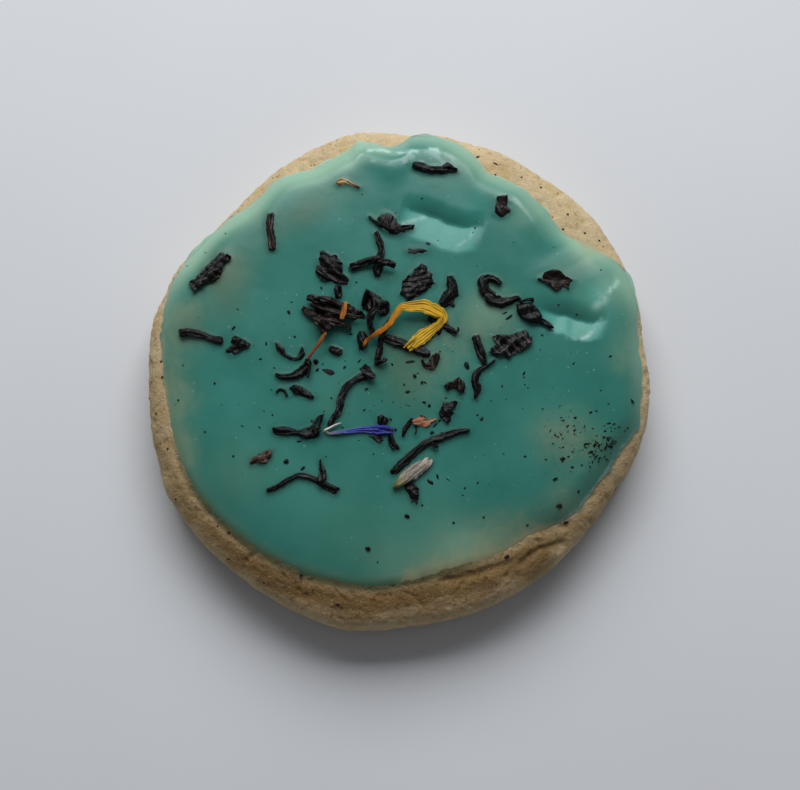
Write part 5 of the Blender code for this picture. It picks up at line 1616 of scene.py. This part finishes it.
# %% Crumbs
# (x, y, length, width, heading)
CRUMBS = (
    (-19.6, 1.1, 0.5, 0.3, 0), (-18.8, 3.3, 0.6, 0.3, 90), (-23.4, 5.6, 0.8, 0.4, 50),
    (-17.6, -0.2, 0.4, 0.2, -30), (-26.0, -2.3, 0.5, 0.35, 60), (-31.2, -4.4, 0.4, 0.3, 0),
    (-25.0, -5.3, 0.2, 0.2, 0), (-19.0, -6.3, 0.25, 0.2, 0), (-17.8, -6.9, 0.3, 0.25, 0),
    (-30.6, 0.5, 0.35, 0.2, 60), (-18.0, -3.3, 0.22, 0.2, 0), (-15.7, 7.8, 0.7, 0.5, -60),
    (-15.3, 9.3, 0.4, 0.2, 0), (-22.9, 8.3, 0.3, 0.25, 0), (-25.0, 19.8, 0.3, 0.25, 0),
    (-27.8, 17.0, 0.3, 0.2, 0), (-30.5, 15.3, 0.35, 0.25, 30), (-14.8, 4.3, 0.5, 0.35, -40),
    (-19.6, -8.6, 0.5, 0.2, -40), (-22.0, -8.4, 0.5, 0.2, -20), (-15.8, -13.4, 0.8, 0.75, 45),
    (-23.2, -12.6, 0.4, 0.3, 10), (-27.3, -9.1, 0.4, 0.3, 0), (-10.3, -12.7, 0.25, 0.2, 0),
    (-13.5, -14.4, 0.9, 0.4, 40), (-14.1, -10.6, 0.9, 0.3, 5), (-12.3, -7.7, 0.45, 0.3, 30),
    (-10.6, -6.4, 0.22, 0.2, 0), (-9.6, -4.5, 0.3, 0.3, 0), (-11.8, 0.7, 0.9, 0.8, 80),
    (-11.6, -0.5, 0.6, 0.5, 60), (-10.8, 0.35, 0.3, 0.25, 40), (-9.9, -0.7, 2.2, 0.8, -15),
    (-7.8, -0.1, 0.5, 0.35, 50), (-7.7, 0.8, 0.25, 0.2, 40), (-5.7, 0.8, 0.7, 0.3, 55),
    (-5.4, -0.4, 0.6, 0.5, -60), (-6.9, 4.6, 0.7, 0.25, 10), (-6.2, 12.1, 0.35, 0.3, 0),
    (-11.1, 11.3, 0.5, 0.3, -60), (-5.4, 25.1, 0.25, 0.2, 0), (-0.6, 22.3, 0.25, 0.2, 0),
    (3.1, 24.5, 0.4, 0.2, 15), (4.0, 17.8, 0.8, 0.4, -15), (5.4, 18.3, 0.22, 0.2, 0),
    (10.7, 20.2, 0.35, 0.3, 30), (7.5, 8.7, 0.7, 0.45, 30), (10.9, 14.5, 0.2, 0.2, 0),
    (8.2, 5.3, 0.9, 0.35, 100), (1.5, 0.65, 1.5, 0.35, 5), (-1.1, 0.3, 0.5, 0.3, 120),
    (9.4, 0.1, 1.3, 0.8, 100), (14.8, 7.7, 0.9, 0.25, 25), (15.4, 7.1, 1.5, 0.45, 35),
    (5.6, 2.1, 0.35, 0.25, 30), (7.4, 2.1, 0.2, 0.2, 0), (2.1, -1.4, 0.7, 0.5, -50),
    (2.5, -1.0, 0.3, 0.25, 0), (3.1, -2.3, 0.6, 0.5, 70), (3.5, -2.3, 0.6, 0.25, -40),
    (0.6, -2.6, 0.35, 0.3, 0), (1.1, -3.6, 0.7, 0.5, 10), (-4.7, -3.2, 0.7, 0.4, 20),
    (-2.5, -4.9, 0.22, 0.2, 0), (-1.0, -5.1, 0.25, 0.2, 0), (3.4, -5.1, 0.6, 0.35, -10),
    (4.1, -5.6, 0.6, 0.5, 30), (1.3, -5.6, 0.25, 0.2, 0), (0.9, -5.5, 0.3, 0.15, 30),
    (-5.0, -6.2, 0.5, 0.25, 40), (6.4, -4.5, 0.4, 0.25, 30), (-8.0, -8.7, 0.45, 0.2, -10),
    (-5.7, -10.5, 0.22, 0.2, 0), (-3.7, -12.4, 0.3, 0.2, 20), (-1.3, -7.5, 0.6, 0.25, -55),
    (-0.6, -9.0, 0.5, 0.35, 80), (3.3, -7.2, 1.2, 0.35, -25), (4.9, -8.3, 1.3, 0.3, 50),
    (5.5, -7.7, 0.5, 0.4, 0), (4.5, -9.4, 0.7, 0.5, 30), (5.8, -9.4, 0.4, 0.25, 0),
    (4.2, -16.3, 1.1, 0.5, -40), (5.2, -15.5, 0.8, 0.35, 100), (6.6, -15.9, 0.7, 0.2, -40),
    (9.0, -17.1, 0.35, 0.25, 60), (8.7, -18.1, 0.3, 0.25, 0), (10.8, -16.4, 0.4, 0.25, 30),
    (10.8, -6.9, 0.4, 0.3, 60), (11.4, -7.4, 0.7, 0.5, 70), (3.1, -19.5, 0.4, 0.3, 20),
    (1.0, -21.0, 0.9, 0.6, -30), (7.4, -21.9, 0.4, 0.3, 0), (11.6, -21.1, 0.4, 0.3, 40),
    (-4.4, -25.5, 0.9, 0.8, 0), (-3.1, -27.3, 0.3, 0.25, 0), (17.7, -22.1, 0.5, 0.3, 30),
    (21.6, -15.8, 1.0, 0.5, 20), (22.2, -19.4, 1.0, 0.7, -20), (23.2, -21.6, 0.9, 0.5, 10),
    (22.7, -13.0, 0.8, 0.5, 30), (24.0, -14.1, 0.5, 0.4, 0), (24.9, -17.4, 0.5, 0.35, 40),
    (17.4, -12.7, 0.4, 0.3, 0), (14.3, -2.8, 0.5, 0.3, 100), (17.4, -0.9, 0.8, 0.3, 60),
    (17.4, -1.5, 0.3, 0.25, 0), (17.5, -2.6, 0.35, 0.2, 0), (17.9, -3.0, 0.2, 0.2, 0),
    (12.7, -4.9, 0.22, 0.2, 0), (20.0, 4.5, 0.45, 0.25, -25), (22.4, 9.0, 0.4, 0.2, 0),
    (25.0, 7.7, 0.35, 0.25, 0), (24.4, 0.5, 0.5, 0.25, 60), (29.6, 1.6, 0.5, 0.3, 20),
    (28.6, 14.3, 0.35, 0.25, 0), (32.6, -4.5, 1.1, 0.4, -50), (26.7, -6.4, 0.5, 0.3, 30),
    (24.5, -7.2, 0.5, 0.35, 0), (22.8, -7.6, 0.4, 0.3, 0), (29.9, -8.0, 0.5, 0.3, 40),
    (32.0, -8.4, 0.4, 0.3, 0), (19.9, -6.0, 0.35, 0.25, 20), (21.3, -10.9, 0.3, 0.25, 0),
)

crumbs = scatter("tea_crumbs", CRUMBS, icing_top, BLACK_TEA, 3)
print("crumbs:", len(CRUMBS), "in", len(crumbs.data.polygons), "faces")

# %% [markdown]
# Dust lies thick in a few small patches and thinly in wide ones. Each patch scatters its
# grains as darts fall round a bull's-eye, and most of them are far smaller than its largest.

# %% Dust
# (x, y, spread across, spread along, how many, largest grain)
DUST_PATCHES = (
    (27.0, -10.9, 0.8, 0.5, 26, 0.66), (29.0, -10.6, 0.7, 0.4, 26, 0.66), (27.3, -12.4, 0.9, 0.4, 20, 0.60),
    (24.9, -8.6, 0.9, 0.4, 14, 0.60), (22.1, -9.7, 0.4, 0.3, 26, 0.36), (29.7, -8.1, 0.8, 0.4, 14, 0.60),
    (22.7, -12.9, 0.4, 0.2, 6, 0.50), (26.5, -11.0, 3.0, 2.4, 50, 0.50), (25.5, -9.5, 4.4, 4.0, 60, 0.40),
    (0.0, 2.0, 9.0, 7.0, 110, 0.26), (14.0, -6.0, 11.0, 10.0, 90, 0.26), (-14.0, -2.0, 12.0, 9.0, 60, 0.22),
)
DUST_EDGE = 0.8  # no dust lies nearer than this to the icing's edge
DUST_SIZES = (0.25, 1.0)  # a grain's size as a share of the largest
DUST_RARITY = 1.6  # how much rarer large grains are
DUST_WIDTHS = (0.3, 0.75)  # a grain's width as a share of its length
DUST_HEADING, DUST_TURN = 10, 40  # degrees


def dust_grains(seed):
    """Specks in soft patches, fewer away from each patch's middle."""
    chance = random.Random(seed)
    grains = []
    for x, y, spread_x, spread_y, count, largest in DUST_PATCHES:
        for _ in range(count):
            there = (chance.gauss(x, spread_x), chance.gauss(y, spread_y))
            if math.hypot(*there) < float(icing_radius(bearing_of(*there))) - DUST_EDGE:
                size = largest * chance.uniform(*DUST_SIZES) ** DUST_RARITY
                width = size * chance.uniform(*DUST_WIDTHS)
                grains.append((*there, size, width, chance.gauss(DUST_HEADING, DUST_TURN)))
    return grains


dust = dust_grains(8)
scatter("tea_dust", dust, icing_top, BLACK_TEA, 4)
print("grains of dust:", len(dust))

# %% [markdown]
# ## Where the icing meets the leaves
# Wet icing climbs a little up whatever lies in it, and sets so. Without it the leaves would
# look laid on top. A boolean could cut their seats, but the icing is fine enough to be raised
# point by point, in a narrow ring round every leaf or petal that dips into it.

# %% Meniscus
MENISCUS_HEIGHT = 0.07
MENISCUS_REACH = 0.28  # how far from a leaf the icing has fallen back to a third of that
MENISCUS_TOUCH = 0.12  # how near the icing's top a leaf's point must be to draw the icing up
ICING_TOP_ABOVE = 0.3  # a point this far above the icing's floor is on its top
LEAF_SHADE_REACH = 0.6  # how far the painted shade round a leaf reaches


def raise_meniscus(pieces):
    """Lifts the icing's upper points that lie close to a sunk point of the pieces, and marks painted shade
    round them.
    """
    sunk = np.concatenate([points_of(piece) for piece in pieces])
    sunk = sunk[np.abs(sunk[:, 2] - icing_top(sunk[:, 0], sunk[:, 1])) < MENISCUS_TOUCH]
    tree = KDTree(len(sunk))
    for index, point in enumerate(sunk):
        tree.insert((point[0], point[1], 0.0), index)
    tree.balance()
    points = points_of(icing)
    upper = np.flatnonzero(points[:, 2] > icing_floor(points[:, 0], points[:, 1]) + ICING_TOP_ABOVE)
    away = np.array([tree.find((x, y, 0.0))[2] for x, y in points[upper, :2]])
    points[upper, 2] += MENISCUS_HEIGHT * hump(away, MENISCUS_REACH)
    move_points(icing, points)
    # Painted shade round every leaf that dips into the icing.
    leaf_shade = np.zeros(len(points))
    leaf_shade[upper] = hump(away, LEAF_SHADE_REACH)
    carry(icing, "leaf_shade", leaf_shade)
    return len(sunk)


print("points sunk in the icing:", raise_meniscus(strewn))

# %% [markdown]
# ## Flecks in the dough
# A spoonful of ground tea went into the dough too, and shows as dark flecks on its bare rim.
# The largest are listed, and finer ones are scattered between the icing and the dough's edge.

# %% Flecks in the dough
# (x, y, length, width, heading)
DOUGH_FLECKS = (
    (11.2, 31.6, 0.9, 0.4, 30), (13.9, 30.6, 1.0, 0.3, -30), (17.6, 28.6, 0.4, 0.3, 0),
    (13.8, 28.8, 0.4, 0.3, 60), (20.4, 27.1, 0.4, 0.3, 0), (24.2, 23.0, 0.45, 0.4, 0),
    (19.9, 24.2, 0.5, 0.3, 30), (23.4, 20.6, 0.4, 0.35, 0), (26.6, 20.2, 0.5, 0.35, 0),
    (28.7, 19.2, 0.4, 0.3, 0), (-16.2, 28.3, 0.5, 0.3, 0), (-23.9, -23.0, 0.5, 0.4, 0),
    (-25.5, -22.1, 0.4, 0.3, 40), (-24.0, -26.6, 0.5, 0.3, 0), (-19.0, -29.9, 0.5, 0.4, 0),
    (-13.7, -29.0, 0.6, 0.4, 0), (-8.6, -33.0, 0.6, 0.4, 0), (14.9, -26.4, 0.9, 0.5, 30),
    (-34.6, -6.0, 0.4, 0.3, 90), (-33.8, -0.8, 0.5, 0.3, 90), (-34.0, 1.4, 0.4, 0.3, 90),
    (-33.9, -10.2, 0.4, 0.3, 90), (-32.8, -11.1, 0.5, 0.3, 60), (-31.6, -18.1, 0.5, 0.3, 60),
)
DOUGH_FLECK_COUNT = 110
DOUGH_FLECK_OUTER = 0.985  # share of the dough's radius inside which they lie
DOUGH_FLECK_GAP = 0.3  # and how far they keep from the icing
DOUGH_FLECK_SIZES = (0.10, 0.24)
DOUGH_FLECK_WIDTHS = (0.6, 1.0)  # a fleck's width as a share of its length


def dough_flecks(seed):
    """The flecks listed above, and finer ones round the bare rim."""
    chance = random.Random(seed)
    grains = list(DOUGH_FLECKS)
    for _ in range(DOUGH_FLECK_COUNT):
        bearing = chance.uniform(0, 360)
        outer = float(biscuit_radius(bearing)) * DOUGH_FLECK_OUTER
        inner = min(outer - DOUGH_FLECK_GAP, float(icing_radius(bearing)) + DOUGH_FLECK_GAP)
        reach = chance.uniform(inner, outer)
        size = chance.uniform(*DOUGH_FLECK_SIZES)
        x, y = reach * math.cos(math.radians(bearing)), reach * math.sin(math.radians(bearing))
        grains.append((x, y, size, size * chance.uniform(*DOUGH_FLECK_WIDTHS), chance.uniform(0, 180)))
    return grains


flecks = dough_flecks(5)
scatter("dough_flecks", flecks, biscuit_top, BROWN_TEA, 6)
print("flecks in the dough:", len(flecks))
